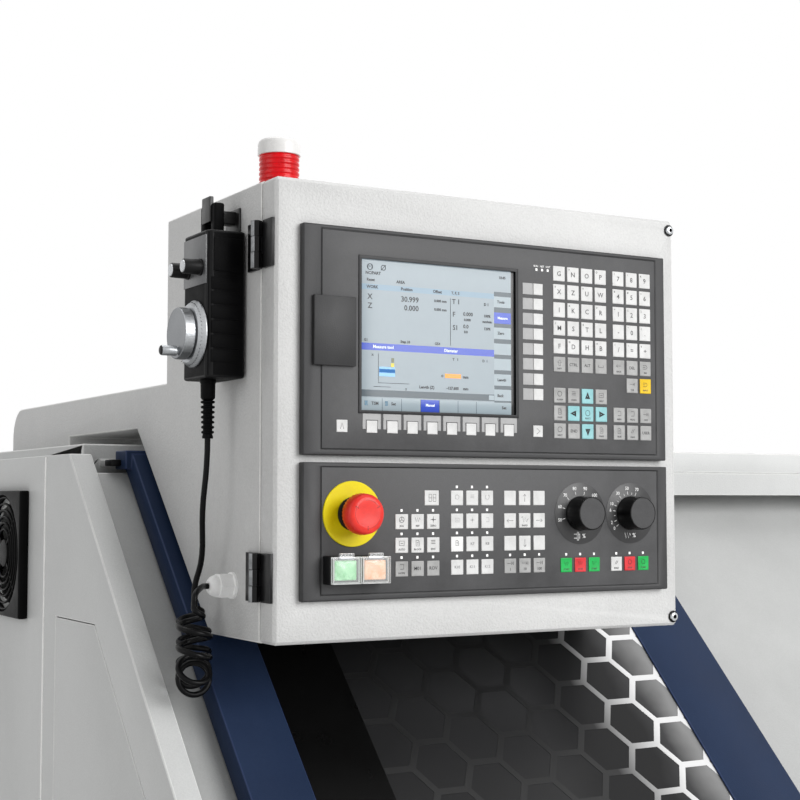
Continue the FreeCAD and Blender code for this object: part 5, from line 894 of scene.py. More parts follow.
key_pale = key_finish("key_pale", "#e2e2e1", "#d0d0cf")
key_grey = key_finish("key_grey", "#b2b2b1", "#9b9b9a")
key_white = key_finish("key_white", "#f4f4f3", "#e8e8e7")
key_cyan = key_finish("key_cyan", "#9ccfd2", "#86bfc4")
key_yellow = key_finish("key_yellow", "#f2cb1c", "#e2b80e")
key_green = key_finish("key_green", "#18b856", "#0da045")
key_red = key_finish("key_red", "#e23a40", "#cc2830")
step = (17.04, 18.05)
round_cap = (11.2, 11.2)
letters_x, figures_x, keys_z = 282.1, 355.7, 26.1
last_z = keys_z + 5 * step[1]
cursor_z, cursor_step = 147.0, (17.04, 17.6)
keys("operator_keys_pale", [
    key_block((letters_x, keys_z), full, step, 4, 5, operator_top),
    key_block((figures_x, keys_z), full, step, 3, 5, operator_top),
    key_block((256.7, 43.6), round_cap, (0, 14.8), 1, 8, operator_top),
    key_block((221.6 - 7 * 21.6, 183.2), round_cap, (21.6, 0), 8, 1, operator_top),
    key_block((255.8, 183.2), round_cap, (0, 0), 1, 1, operator_top),
    key_block((39.4, 183.2), round_cap, (0, 0), 1, 1, operator_top)], key_pale)
cursor = [(2, 0), (1, 1), (2, 1), (3, 1), (2, 2)]
keys("operator_keys_grey", [
    key_block((letters_x, last_z), full, step, 4, 1, operator_top),
    key_block((figures_x, last_z), full, step, 3, 1, operator_top),
    key_block((372.7, 134.3), full, step, 1, 1, operator_top),
    key_block((letters_x, cursor_z), full, cursor_step, 4, 3, operator_top, skip=cursor),
    key_block((figures_x, 164.6), full, cursor_step, 3, 2, operator_top)], key_grey)
keys("operator_keys_cursor", [
    key_block((letters_x + step[0] * column, cursor_z + cursor_step[1] * row), full, step, 1, 1,
              operator_top) for column, row in cursor], key_cyan)
keys("operator_key_input", [key_block((389.8, 134.3), full, step, 1, 1, operator_top)],
     key_yellow)
small, pace = (13.5, 14.0), (17.0, 21.7)
switch_z = 97.7
keys("control_keys_pale", [
    key_block((101.9, 54.0), small, pace, 3, 2, control_top),
    key_block((134.3, 32.0), (15.5, 14.0), pace, 1, 1, control_top),
    key_block((162.2, 32.0), small, pace, 3, 4, control_top, skip=[(0, 2)]),
    key_block((222.4, 32.0), small, pace, 3, 3, control_top),
    key_block((350.6, switch_z), small, pace, 1, 1, control_top)], key_pale)
keys("control_keys_grey", [
    key_block((101.9, 54.0 + 2 * 21.7), small, pace, 3, 1, control_top),
    key_block((222.4, 32.0 + 3 * 21.7), small, pace, 3, 1, control_top)], key_grey)
keys("control_key_white", [key_block((162.2, 32.0 + 2 * 21.7), small, pace, 1, 1, control_top)],
     key_white)
keys("control_keys_green", [
    key_block((288.8, switch_z), small, (34.0, 0), 2, 1, control_top),
    key_block((384.6, switch_z), small, pace, 1, 1, control_top)], key_green)
keys("control_keys_red", [
    key_block((305.8, switch_z), small, pace, 1, 1, control_top),
    key_block((367.6, switch_z), small, pace, 1, 1, control_top)], key_red)
bpy.data.objects.remove(first_cap)

# Pale fields are printed on the foil beside and above the soft keys, and small white light
# guides show in it above the keys that switch something on.
print_grey = finish("print_grey", "#a9a9a9", "#989898", cloud=0.02, grain=0.001, speckle=0.15,
                    rough=0.42, relief=0.05)
lamp_white = finish("light_guide", "#fdfdfb", "#eeeeec", cloud=0.004, grain=0.0005, rough=0.3,
                    relief=0.05, glow=0.25)
dial_black = finish("dial_plate", "#2b2b2c", "#202021", cloud=0.02, grain=0.001, speckle=0.3,
                    rough=0.4, relief=0.06)


def at(x, z, top, y=0.0):
    return (panel_left + x / 1000, foil_front - y, top - z / 1000)


def field(x0, x1, z0, z1, top, rise, finishes):
    low = at(x0, z1, top, rise)
    high = at(x1, z0, top, -0.0003)
    return bar("field", low, high, finishes, "console_leaf", rounding=0.0001,
               steps=1)


fields = [field(238.7, 250.8, 38.0 + 14.8 * i, 49.2 + 14.8 * i, operator_top, 0.0003,
                [print_grey]) for i in range(8)]
for i in range(8):
    middle = 221.6 - 21.6 * i
    for left, right, low, high in ((-9.5, 9.5, 170.3, 177.0), (-9.5, -6.3, 177.0, 185.4),
                                   (6.3, 9.5, 177.0, 185.4)):
        fields.append(field(middle + left, middle + right, low, high, operator_top, 0.0003,
                            [print_grey]))
joined("soft_key_fields", fields, "console_leaf")
dots = [(x, 24.0, operator_top) for x in (255.2, 262.0, 268.8)]
for start, first, count in ((101.9, 43.6, 3), (162.2, 21.6, 4)):
    dots += [(start + 17 * c, first + 21.7 * r, control_top)
             for c in range(3) for r in range(count)]
dots += [(x + 17 * c, z, control_top) for x, z in ((222.4, 86.7), (288.8, 87.3), (350.6, 87.3))
         for c in range(3)]
joined("light_guides", [field(x - 1.1, x + 1.1, z - 1.2, z + 1.2, top, 0.0004, [lamp_white])
                        for x, z, top in dots], "console_leaf")

# The key legends are screen printed on the foil: generic letters, digits and plain signs, dark
# on the keys in use and paler on the spare ones.
size_per_capital = 1.38
legend_ink = finish("legend_ink", "#2b2b2d", "#232325", cloud=0.01, grain=0.0005, rough=0.5,
                    relief=0.0)
# The white ink glows a little: painted light that lifts the printed figures.
white_ink_glow = finish("white_ink_glow", "#f2f2f1", "#e6e6e5", cloud=0.01, grain=0.0005, rough=0.5,
                   relief=0.0, glow=0.1)


def word(text, x, z, size, top, rise, bold=0.05):
    bpy.ops.object.text_add()
    made = bpy.context.object
    made.data.body = text
    made.data.align_x = "CENTER"
    made.data.align_y = "CENTER"
    made.data.size = size * size_per_capital / 1000
    made.data.resolution_u = 2
    made.data.extrude = 0.00003
    made.data.offset = bold / 1000
    bpy.ops.object.convert(target="MESH")
    made = bpy.context.object
    made.rotation_euler = (math.radians(90), 0, 0)
    made.location = at(x, z, top, rise)
    return made


def lines(strokes, x, z, size, top, rise, width=0.00022):
    curve = bpy.data.curves.new("lines", "CURVE")
    curve.dimensions = "3D"
    curve.bevel_depth = width
    curve.bevel_resolution = 0
    for stroke in strokes:
        run = curve.splines.new("POLY")
        run.points.add(len(stroke) - 1)
        for point, (across, up) in zip(run.points, stroke):
            point.co = (across * size / 1000, 0, up * size / 1000, 1)
        if stroke[0] == stroke[-1]:
            run.use_cyclic_u = True
    made = bpy.data.objects.new("lines", curve)
    bpy.context.collection.objects.link(made)
    select_only(made)
    bpy.ops.object.convert(target="MESH")
    made = bpy.context.object
    made.scale = (1, 0.3, 1)
    made.location = at(x, z, top, rise)
    return made


def printed(name, pieces, ink, body="console_leaf"):
    for piece in pieces:
        coated(piece, [ink])
    select_only(*pieces)
    settle()
    return joined(name, pieces, body)


def ring(radius, start, end, count):
    return [(radius * math.cos(math.radians(start + (end - start) * i / count)),
             radius * math.sin(math.radians(start + (end - start) * i / count)))
            for i in range(count + 1)]


signs = {
    "up": [[(0, -1), (0, 1), (-0.4, 0.5)], [(0, 1), (0.4, 0.5)]],
    "down": [[(0, 1), (0, -1), (-0.4, -0.5)], [(0, -1), (0.4, -0.5)]],
    "left": [[(1, 0), (-1, 0), (-0.5, 0.4)], [(-1, 0), (-0.5, -0.4)]],
    "right": [[(-1, 0), (1, 0), (0.5, 0.4)], [(1, 0), (0.5, -0.4)]],
    "wave": [[(-1, 0.5), (-0.6, 0.7), (-0.3, -0.6), (0.1, 0.6), (0.5, -0.6), (1, 0.2)]],
    "shift": [[(-0.3, -1), (-0.3, 0.1), (-0.8, 0.1), (0, 1), (0.8, 0.1), (0.3, 0.1), (0.3, -1),
               (-0.3, -1)]],
    "space": [[(-1, 0.3), (-1, -0.3), (1, -0.3), (1, 0.3)]],
    "gate": [[(-1, 0.6), (0.3, 0.6), (0.8, 0), (0.3, -0.6), (-1, -0.6)], [(-1, 0), (0, 0)]],
    "round": [ring(0.85, 0, 360, 12)],
    "turn": [ring(0.9, 120, 420, 12), [(0.45, 0.78), (0.9, 0.7), (0.75, 0.25)]],
    "wheel": [ring(0.9, 0, 360, 12), [(0, 0), (0, 0.9)], [(0, 0), (0.78, -0.45)],
              [(0, 0), (-0.78, -0.45)]],
    "box": [[(-0.9, -0.7), (0.9, -0.7), (0.9, 0.7), (-0.9, 0.7), (-0.9, -0.7)],
            [(-0.4, 0), (0.5, 0)]],
    "page": [[(-0.6, -0.9), (0.6, -0.9), (0.6, 0.4), (0.2, 0.9), (-0.6, 0.9), (-0.6, -0.9)],
             [(-0.3, 0.2), (0.3, 0.2)], [(-0.3, -0.3), (0.3, -0.3)]],
    "rows": [[(-0.8, 0.8), (0.8, 0.8)], [(-0.8, 0.3), (0.8, 0.3)], [(-0.8, -0.2), (0.8, -0.2)]],
    "step": [[(-1, 0), (0.7, 0), (0.3, 0.4)], [(0.7, 0), (0.3, -0.4)], [(1, 0.5), (1, -0.5)]],
    "hook": [[(-0.6, 0.8), (0.7, 0.8), (0.7, -0.7), (-0.6, -0.7)]],
    "slant": [[(-0.7, -0.7), (0.1, 0.7)], [(-0.1, -0.7), (0.7, 0.7)]],
    "cross": [[(-1, 0), (1, 0)], [(0, -1), (0, 1)], ring(0.3, 0, 360, 8)],
    "saw": [[(-0.9, 0.7), (-0.5, -0.7), (-0.1, 0.7), (0.3, -0.7), (0.7, 0.7), (0.9, 0)]],
    "shaft": [[(-1, 0.5), (0, 0.5)], [(-1, -0.5), (0, -0.5)],
              [(0, -1), (0.45, -1), (0.45, 1), (0, 1), (0, -1)], [(0.45, 0.5), (0.8, 0.5),
               (0.8, -0.5), (0.45, -0.5)]],
    "eight": [[(-0.7, 0), (-0.7, 0.8), (0.0, 0.8), (0.0, -0.8), (-0.7, -0.8), (-0.7, 0),
               (0.0, 0)]],
    "wedge": [[(-0.5, -0.8), (0, 0.8), (0.5, -0.8)]],
    "arrowhead": [[(-0.4, 0.8), (0.6, 0), (-0.4, -0.8)]],
}
cap_face = key_rise - 0.00012


def mark(sign, x, z, size, top, **width):
    if sign in signs:
        return lines(signs[sign], x, z, size, top, cap_face, **width)
    return word(sign, x, z, size, top, cap_face)


ink = []
for row, letters in enumerate(("GNOP", "XZUW", "IKCR", "MSTL", "FDHB")):
    for column, letter in enumerate(letters):
        x, z = letters_x + step[0] * column, 26.4 + step[1] * row
        ink.append(mark(letter, x, z, 4.9, operator_top))
        if (row + column) % 2:
            ink.append(mark("QEVJAY"[(row + 2 * column) % 6], x - 4.7, z - 4.9, 1.8,
                            operator_top))
for row, letters in enumerate(("789", "456", "123", "-0.", "/=+")):
    for column, letter in enumerate(letters):
        x, z = figures_x + step[0] * column, 26.4 + step[1] * row
        ink.append(mark(letter, x, z, 4.9, operator_top))
        ink.append(mark("?!&%#<>[]:*("[(row * 3 + column) % 12], x - 4.7, z - 4.9, 1.8,
                        operator_top))
for x, z, sign, label in (
        (282.1, last_z, "shift", "SHIFT"), (299.1, last_z, "", "CTRL"),
        (316.2, last_z, "", "ALT"), (333.2, last_z, "space", ""),
        (355.7, last_z, "left", "BACK"), (372.7, last_z, "", "DEL"),
        (389.8, last_z, "gate", "INS"), (372.7, 134.3, "step", "TAB"),
        (389.8, 134.3, "gate", "INPUT"),
        (282.1, 147.0, "round", "ALARM"), (299.1, 147.0, "rows", "CHAN"),
        (333.2, 147.0, "box", "HELP"), (282.1, 164.6, "page", "PAGE"),
        (282.1, 182.2, "round", "NEXT"), (299.1, 182.2, "", "END"),
        (333.2, 182.2, "page", "PAGE"), (355.7, 164.6, "hook", "AREA"),
        (372.7, 164.6, "hook", "PROG"), (389.8, 164.6, "step", "OFFS"),
        (355.7, 182.2, "page", "FILES"), (372.7, 182.2, "slant", "DIAG"),
        (389.8, 182.2, "", "USER")):
    if sign:
        ink.append(mark(sign, x, z - (1.5 if label else 0), 3.0, operator_top))
    if label:
        big = 3.0 if not sign else 1.7
        ink.append(mark(label, x, z + (4.4 if sign else 0), big, operator_top))
ink.append(mark("round", 316.2, 163.8, 3.2, operator_top))
ink.append(mark("SELECT", 316.2, 169.2, 1.6, operator_top))
for x, z, way in ((316.2, 147.0, 0), (299.1, 164.6, 90), (333.2, 164.6, -90), (316.2, 182.2, 180)):
    turn = math.radians(way)
    tip = [(0, 3.4), (-2.4, -2.2), (2.4, -2.2), (0, 3.4)]
    tip = [(a * math.cos(turn) - b * math.sin(turn), a * math.sin(turn) + b * math.cos(turn))
           for a, b in tip]
    middle = [(a * 0.5, b * 0.5) for a, b in tip]
    ink.append(lines([tip, middle], x, z, 1.0, operator_top, cap_face, width=0.0009))
ink.append(mark("wedge", 39.4, 183.2, 3.4, operator_top))
ink.append(mark("arrowhead", 255.8, 183.2, 3.4, operator_top))
printed("operator_legends", ink, legend_ink)
control_marks = []
for i, (sign, label) in enumerate((("wheel", "JOG"), ("saw", "REF"), ("cross", "ZERO"),
                                   ("box", "AUTO"), ("page", "BLOCK"), ("rows", "EDIT"),
                                   ("hook", "HOME"))):
    x, z = 101.9 + 17 * (i % 3), 53.4 + 21.7 * (i // 3)
    control_marks += [(sign, x, z - 1.2, 2.9), (label, x, z + 4.6, 1.8)]
control_marks += [("M01", 118.9, 97.4, 3.2), ("ROV", 135.9, 97.4, 3.2),
                  ("eight", 134.2, 32.0, 4.2), ("eight", 138.8, 32.0, 4.2),
                  ("page", 162.2, 74.4, 2.6), ("up", 239.4, 32.0, 3.6),
                  ("left", 222.4, 53.7, 3.6), ("wave", 239.4, 52.8, 4.0),
                  ("RAPID", 239.4, 58.6, 1.7), ("right", 256.4, 53.7, 3.6),
                  ("down", 239.4, 75.4, 3.6)]
for i, label in enumerate(("1", "10", "100")):
    control_marks += [("step", 222.4 + 17 * i, 94.7, 3.4), (label, 222.4 + 17 * i, 100.5, 2.7)]
for x, sign, label in ((288.8, "saw", "START"), (305.8, "saw", "STOP"), (322.8, "saw", "START"),
                       (350.6, "slant", "RESET"), (367.6, "round", "STOP"),
                       (384.6, "round", "START")):
    control_marks += [(sign, x, 96.2, 2.6), (label, x, 102.0, 1.7)]
printed("control_legends", [mark(*placed, control_top) for placed in control_marks], legend_ink)
ink = []
for i, sign in enumerate(("round", "rows", "turn", "box", "cross", "hook", "", "K7", "K8", "K10",
                          "K11", "K12")):
    x, z = 162.2 + 17 * (i % 3), 32.0 + 21.7 * (i // 3)
    if sign in signs:
        ink.append(mark(sign, x, z - 0.8, 2.5, control_top, width=0.00015))
    elif sign:
        ink.append(mark(sign, x, z, 2.7, control_top))
faint_ink = finish("faint_ink", "#8b8b8c", "#7f7f80", cloud=0.01, grain=0.0005, rough=0.5,
                   relief=0.0)
printed("spare_key_legends", ink, faint_ink)

# Round each override knob a black scale is printed on the foil, with white figures and ticks
# on its upper left and a percent sign under the knob.
dials = []
ink = []
dial_z, print_rise = 47.2, 0.0004
for x, figures, sign in (
        (305.9, ((195, "50"), (165, "60"), (135, "70"), (105, "80"), (75, "90"), (45, "100")),
         "shaft"),
        (368.8, ((217, "0"), (202, "2"), (187, ""), (173, "6"), (158, "10"), (143, ""),
                 (128, "30"), (113, ""), (99, "50"), (84, ""), (70, "70"), (40, "")), "saw")):
    dials.append(turned("dial_plate", at(x, dial_z, control_top, -0.0002), (0, -1, 0),
                        [(0, 0.0304), (0.0004, 0.0304), (0.0005, 0.0302)], [dial_black],
                        "console_leaf", sides=72))
    for degrees, figure in figures:
        over, up = math.cos(math.radians(degrees)), math.sin(math.radians(degrees))
        if figure:
            ink.append(word(figure, x + 25.2 * over, dial_z - 25.2 * up, 3.4, control_top,
                            print_rise))
        long = 22.0 if figure else 20.8
        ink.append(lines([[(18.8 * over, 18.8 * up), (long * over, long * up)]], x, dial_z, 1.0,
                         control_top, print_rise, width=0.0004))
    ink.append(lines(signs[sign], x - 3.6, dial_z + 22.4, 3.9, control_top, print_rise,
                     width=0.00042))
    ink.append(word("%", x + 4.6, dial_z + 22.4, 4.4, control_top, print_rise))
joined("dial_plates", dials, "console_leaf")
printed("dial_figures", ink, white_ink_glow)
captions = [word(text, x, 20.6, 1.9, operator_top, 0.0002)
            for text, x in (("RUN", 254.6), ("NET", 262.0), ("HOT", 269.2))]
printed("light_captions", captions, white_ink_glow)

# The page on the display shows plain axis letters, figures, a small diagram and field marks,
# raised a hair over the page in dark, white and coloured finishes.
def on_page(across, down):
    return ((shown[0] - panel_left + across * wide) * 1000,
            (operator_top - shown[3] + down * tall) * 1000)


page_rise = -0.00088
ink = []
for text, across, down, size in (
        ("X", 0.045, 0.244, 4.6), ("Z", 0.045, 0.305, 4.6), ("30.999", 0.30, 0.246, 4.6),
        ("0.000", 0.31, 0.305, 4.6), ("0.000 mm", 0.50, 0.240, 2.2), ("0.000 mm", 0.50, 0.300, 2.2),
        ("T 1", 0.605, 0.236, 4.2), ("D 1", 0.81, 0.240, 2.4), ("F", 0.590, 0.325, 4.2),
        ("0.000", 0.685, 0.318, 3.2), ("0.000", 0.680, 0.358, 2.2), ("100%", 0.815, 0.322, 2.3),
        ("mm/min", 0.815, 0.362, 2.1), ("S1", 0.600, 0.418, 4.2), ("0.0", 0.67, 0.405, 3.2),
        ("0.0", 0.67, 0.443, 2.2), ("120%", 0.815, 0.412, 2.3), ("NC/PART", 0.065, 0.082, 2.5),
        ("Reset", 0.05, 0.128, 2.4), ("AREA", 0.24, 0.130, 2.4), ("WORK", 0.06, 0.176, 2.5),
        ("Position", 0.28, 0.176, 2.5), ("Offset", 0.48, 0.176, 2.5), ("T, F, S", 0.60, 0.176, 2.3),
        ("G1", 0.02, 0.538, 2.2), ("Step 10", 0.27, 0.538, 2.2), ("G54", 0.48, 0.538, 2.2),
        ("T   1", 0.60, 0.640, 2.2), ("D  1", 0.80, 0.640, 2.2), ("mm", 0.668, 0.760, 2.6),
        ("Length (Z)", 0.41, 0.842, 2.5), ("-127.600", 0.58, 0.842, 2.5), ("mm", 0.668, 0.842, 2.5),
        ("x", 0.062, 0.635, 2.4), ("z", 0.275, 0.860, 2.4), ("10:45", 0.92, 0.040, 2.3),
        ("Tools", 0.910, 0.214, 2.4), ("Zero", 0.910, 0.436, 2.4), ("Length", 0.915, 0.768, 2.4),
        ("Back", 0.905, 0.880, 2.4), ("TSM", 0.078, 0.965, 2.6), ("Set", 0.195, 0.965, 2.5),
        ("Set", 0.930, 0.965, 2.6), ("o", 0.512, 0.756, 3.0)):
    x, z = on_page(across, down)
    ink.append(word(text, x, z, size * 1.12, operator_top, page_rise, bold=0.13))
for strokes, across, down, size, width in (
        ([[(0, 27), (0, 0), (33, 0)], [(-5, -3.6), (13, -3.6)]], 0.0985, 0.8245, 1, 0.0002),
        ([[(0, 0), (0, -45)]], 0.567, 0.215, 1, 0.0002),
        ([[(-2, -2), (-2, 2), (0, 0), (2, 2), (2, -2)], ring(2.8, 0, 360, 10)], 0.045, 0.040, 1,
         0.0003),
        ([ring(2.4, 0, 360, 10), [(-2.6, -2.6), (2.6, 2.6)]], 0.13, 0.040, 1, 0.0003)):
    x, z = on_page(across, down)
    ink.append(lines(strokes, x, z, size, operator_top, page_rise, width=width))
page_ink = finish("page_ink", "#171c22", "#12161b", cloud=0.01, grain=0.001, rough=0.4,
                  relief=0.0)
printed("display_figures", ink, page_ink)
bright_words = []
for text, across, down, size in (("Measure tool", 0.13, 0.581, 2.7), ("Diameter", 0.57, 0.581, 2.6),
                                 ("Measure", 0.922, 0.328, 2.2), ("Manual", 0.432, 0.965, 2.3)):
    x, z = on_page(across, down)
    bright_words.append(word(text, x, z, size * 1.1, operator_top, page_rise, bold=0.1))
page_white = finish("page_white", "#dfe6ee", "#d4dce6", cloud=0.01, grain=0.001, rough=0.4,
                    relief=0.0, glow=0.4)
printed("display_title_words", bright_words, page_white)


def patch(name, across, down, width, height, made):
    x, z = on_page(across, down)
    bar(name, at(x - width / 2, z + height / 2, operator_top, page_rise + 0.00004),
        at(x + width / 2, z - height / 2, operator_top, page_rise - 0.0004), [made],
        "console_leaf", rounding=0.00003, steps=1)


page_orange = lit("page_orange", "#e0921c", "#d88814")
part_blue = lit("part_blue", "#5f9dcf", "#86b9dd")
tool_yellow = lit("tool_yellow", "#c9c21e", "#b8a512")
patch("display_value_field", 0.583, 0.756, 18.0, 4.2, page_orange)
patch("display_part_body", 0.154, 0.747, 17.0, 8.8, part_blue)
patch("display_part_light", 0.154, 0.742, 17.0, 3.4, lit("part_light", "#8fb9d8", "#84b0d2"))
patch("display_tool", 0.1885, 0.702, 3.6, 4.0, tool_yellow)
patch("display_tool_holder", 0.190, 0.668, 2.8, 4.2, lit("holder_grey", "#5b5f3a", "#4c5030"))
sign_teal = lit("sign_teal", "#1d5a72", "#174f66")
patch("display_sign_left", 0.022, 0.963, 3.4, 4.4, sign_teal)
patch("display_sign_right", 0.150, 0.963, 3.0, 4.4, sign_teal)
patch("display_page_turn", 0.843, 0.896, 6.0, 4.6, page[soft_key])

# The flap over the card slot is a dark grey moulding with rounded edges and two small hinge
# lugs on its left. It stands proud of the panel and throws a shadow on it.
flap_plastic = finish("flap_plastic", "#303031", "#252526", cloud=0.03, grain=0.0011,
                      speckle=0.3, rough=0.44, spread=0.14, relief=0.12, specular=0.28)
# The flap's rounded edges take a lighter grey: a painted highlight.
flap_edge_highlight = finish("flap_plastic_edge_highlight", "#3c3c3d", "#2c2c2d", cloud=0.02, grain=0.0011,
                   speckle=0.3, rough=0.38, relief=0.08, specular=0.3)
from_solid("card_flap", "card_slot_flap", "card_leaf", "flap_plastic",
           [flap_plastic, flap_edge_highlight], rounding=0.0007)

# The stop button is a red mushroom head with a ribbed rim on a black collar, over a yellow
# disc. Turned arrows are moulded into its face, which is glossy and a little hollow.
def fluted(piece, wanted, pinch, middle):
    pick(piece, "VERT", lambda point: wanted(point.co))
    bpy.ops.transform.resize(value=pinch, center_override=middle)
    bpy.ops.mesh.select_mode(type="FACE")
    leave_edit()


def in_flute(up, across, pitch):
    turn = math.degrees(math.atan2(up, across)) % pitch
    return turn < 2 or turn > pitch - 2


stop_yellow = finish("stop_yellow", "#f6e600", "#e8d400", cloud=0.03, grain=0.0015, speckle=0.1,
                     rough=0.46, spread=0.1, relief=0.08, specular=0.25)
stop_red = finish("stop_red", "#f23b30", "#dc231c", cloud=0.02, grain=0.001, speckle=0.12,
                  rough=0.34, spread=0.12, relief=0.05, coat=0.08, specular=0.3)
stop_dark = finish("stop_red_mark", "#9c1f1d", "#861715", cloud=0.01, grain=0.001, rough=0.4,
                   relief=0.0)
stop_x, stop_z = -0.8011, 1.4671
stop_plate = turned("stop_yellow_disc", (stop_x, -0.4498, stop_z), (0, -1, 0),
                    [(0, 0.0298), (0.0012, 0.0298), (0.0016, 0.0294)],
                    [stop_yellow], "console_leaf", sides=96)
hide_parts("estop_collar")
turned("stop_collar", (stop_x, -0.4512, stop_z), (0, -1, 0),
       [(0, 0.0152), (0.002, 0.0152), (0.0026, 0.0146), (0.003, 0.0134),
        (0.0076, 0.0134)], [black_plastic], "console_leaf", sides=48)
stop_head = turned("stop_mushroom_head", (stop_x, -0.4638, stop_z), (0, -1, 0),
                   [(0, 0.0138), (0.0004, 0.0170), (0.0016, 0.0184), (0.0040, 0.0188),
                    (0.0070, 0.0188), (0.0074, 0.0184), (0.0110, 0.0183), (0.0136, 0.0179),
                    (0.0152, 0.0170), (0.0163, 0.0156), (0.0169, 0.0138), (0.0170, 0.0122),
                    (0.0166, 0.0080)], [stop_red], "stop_head", sides=72)
fluted(stop_head, lambda p: in_flute(p.z - stop_z, p.x - stop_x, 10) and p.y > -0.4712
       and math.hypot(p.z - stop_z, p.x - stop_x) > 0.0183,
       (0.965, 1, 0.965), (stop_x, 0, stop_z))
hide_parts("estop_button")
arrows = []
for third in range(3):
    start = 100 + 120 * third
    arc = [(12.6 * math.cos(math.radians(turn)), 12.6 * math.sin(math.radians(turn)))
           for turn in range(start, start - 81, -9)]
    tip = math.radians(start - 76) + 0.14
    barb = [(10.8 * math.cos(tip), 10.8 * math.sin(tip)), arc[-1],
            (14.2 * math.cos(tip), 14.2 * math.sin(tip))]
    arrows.append(lines([arc, barb], 49.9, 46.6, 1.0, control_top, 0.03085, width=0.0006))
printed("stop_turn_arrows", arrows, stop_dark, body="stop_head")

# The two lit push buttons sit in a black socket block. Their lenses are frosted, green and
# orange, lit unevenly from behind, and a clear hinged cover with a metal tab guards each.
def lens(name, colour, second):
    return finish(name, colour, second, cloud=0.006, grain=0.002, speckle=0.25, rough=0.25,
                  spread=0.1, relief=0.1, coat=0.3, glow=0.35)


from_solid("button_block", "button_socket_block", "console_leaf",
           "black_plastic", [black_plastic], rounding=0.0008)

# Each lens is drawn in by 1.5 percent about its middle, so that it clears the well that it
# slides in.
for solid, name, body, slot, frosted in (
        ("start_button", "start_button_lens", "start_cap", "start_green",
         lens("lens_green", "#a9eab4", "#4cba62")),
        ("hold_button", "hold_button_lens", "hold_cap", "hold_orange",
         lens("lens_orange", "#ffd9b4", "#f09a55"))):
    from_solid(solid, name, body, slot, [frosted], steps=3)
    low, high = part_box(solid)
    edit_all()
    bpy.ops.transform.resize(value=(0.985, 1, 0.985),
                             center_override=[(a + b) / 2 for a, b in zip(low, high)])
    leave_edit()
clear_cover = finish("clear_cover", "#f2f4f3", "#e4e7e6", cloud=0.01, grain=0.001, speckle=0.05,
                     rough=0.12, spread=0.06, relief=0.02, alpha=0.22, coat=0.4)
# The covers' rounded edges are white and less clear: a painted highlight.
clear_edge_highlight = finish("clear_cover_edge_highlight", "#ffffff", "#dfe3e2", cloud=0.004, grain=0.001,
                    speckle=0.3, rough=0.2, spread=0.1, relief=0.05, alpha=0.75, coat=0.5)
for switch in ("start", "hold"):
    from_solid(f"{switch}_guard", f"{switch}_button_cover", f"{switch}_cover", "clear_guard",
               [clear_cover, clear_edge_highlight], rounding=0.0006, clamp=True)
satin_metal = metal("satin_metal", "#c2c4c6", "#a4a6a9", stretch=(1, 1, 0.3), lines=2200,
                    rough=0.28)
for cover, left in (("start_cover", -0.8240), ("hold_cover", -0.7940)):
    bar(f"{cover}_tab", (left, -0.4692, 1.4266), (left + 0.0150, -0.4645, 1.4294),
        [satin_metal], cover, rounding=0.0005)

# The override knobs are black moulded knobs with fine grip flutes, a glossy side and a dark
# grey disc pressed into the face. Each turns on its own shaft.
knob_black = finish("knob_black", "#080809", "#050506", cloud=0.02, grain=0.001, speckle=0.2,
                    rough=0.3, spread=0.1, relief=0.05, coat=0.05, specular=0.25)
knob_face = finish("knob_face", "#464647", "#373738", cloud=0.02, grain=0.0012, speckle=0.35,
                   rough=0.5, spread=0.14, relief=0.14, specular=0.3)
knob_z = 1.4665
for name, node, body, x in (
        ("spindle_speed_knob", "spindle_override_knob", "spindle_knob", -0.5451),
        ("feed_rate_knob", "feed_override_knob", "feed_knob", -0.4822)):
    knob = turned(name, (x, -0.4503, knob_z), (0, -1, 0),
                  [(0, 0.0170), (0.0022, 0.0170), (0.0028, 0.0166), (0.0196, 0.0163),
                   (0.0204, 0.0160), (0.0208, 0.0154), (0.0208, 0.0150), (0.0205, 0.0149),
                   (0.0205, 0.0060)], [knob_black, knob_face], body, sides=60)
    give(knob, 1, lambda c, n: n.y < -0.9 and c.y < -0.4705
         and math.hypot(c.x - x, c.z - knob_z) < 0.0148)
    fluted(knob, lambda p: in_flute(p.z - knob_z, p.x - x, 12) and -0.4702 < p.y < -0.4528,
           (0.965, 1, 0.965), (x, 0, knob_z))
    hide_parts(node)

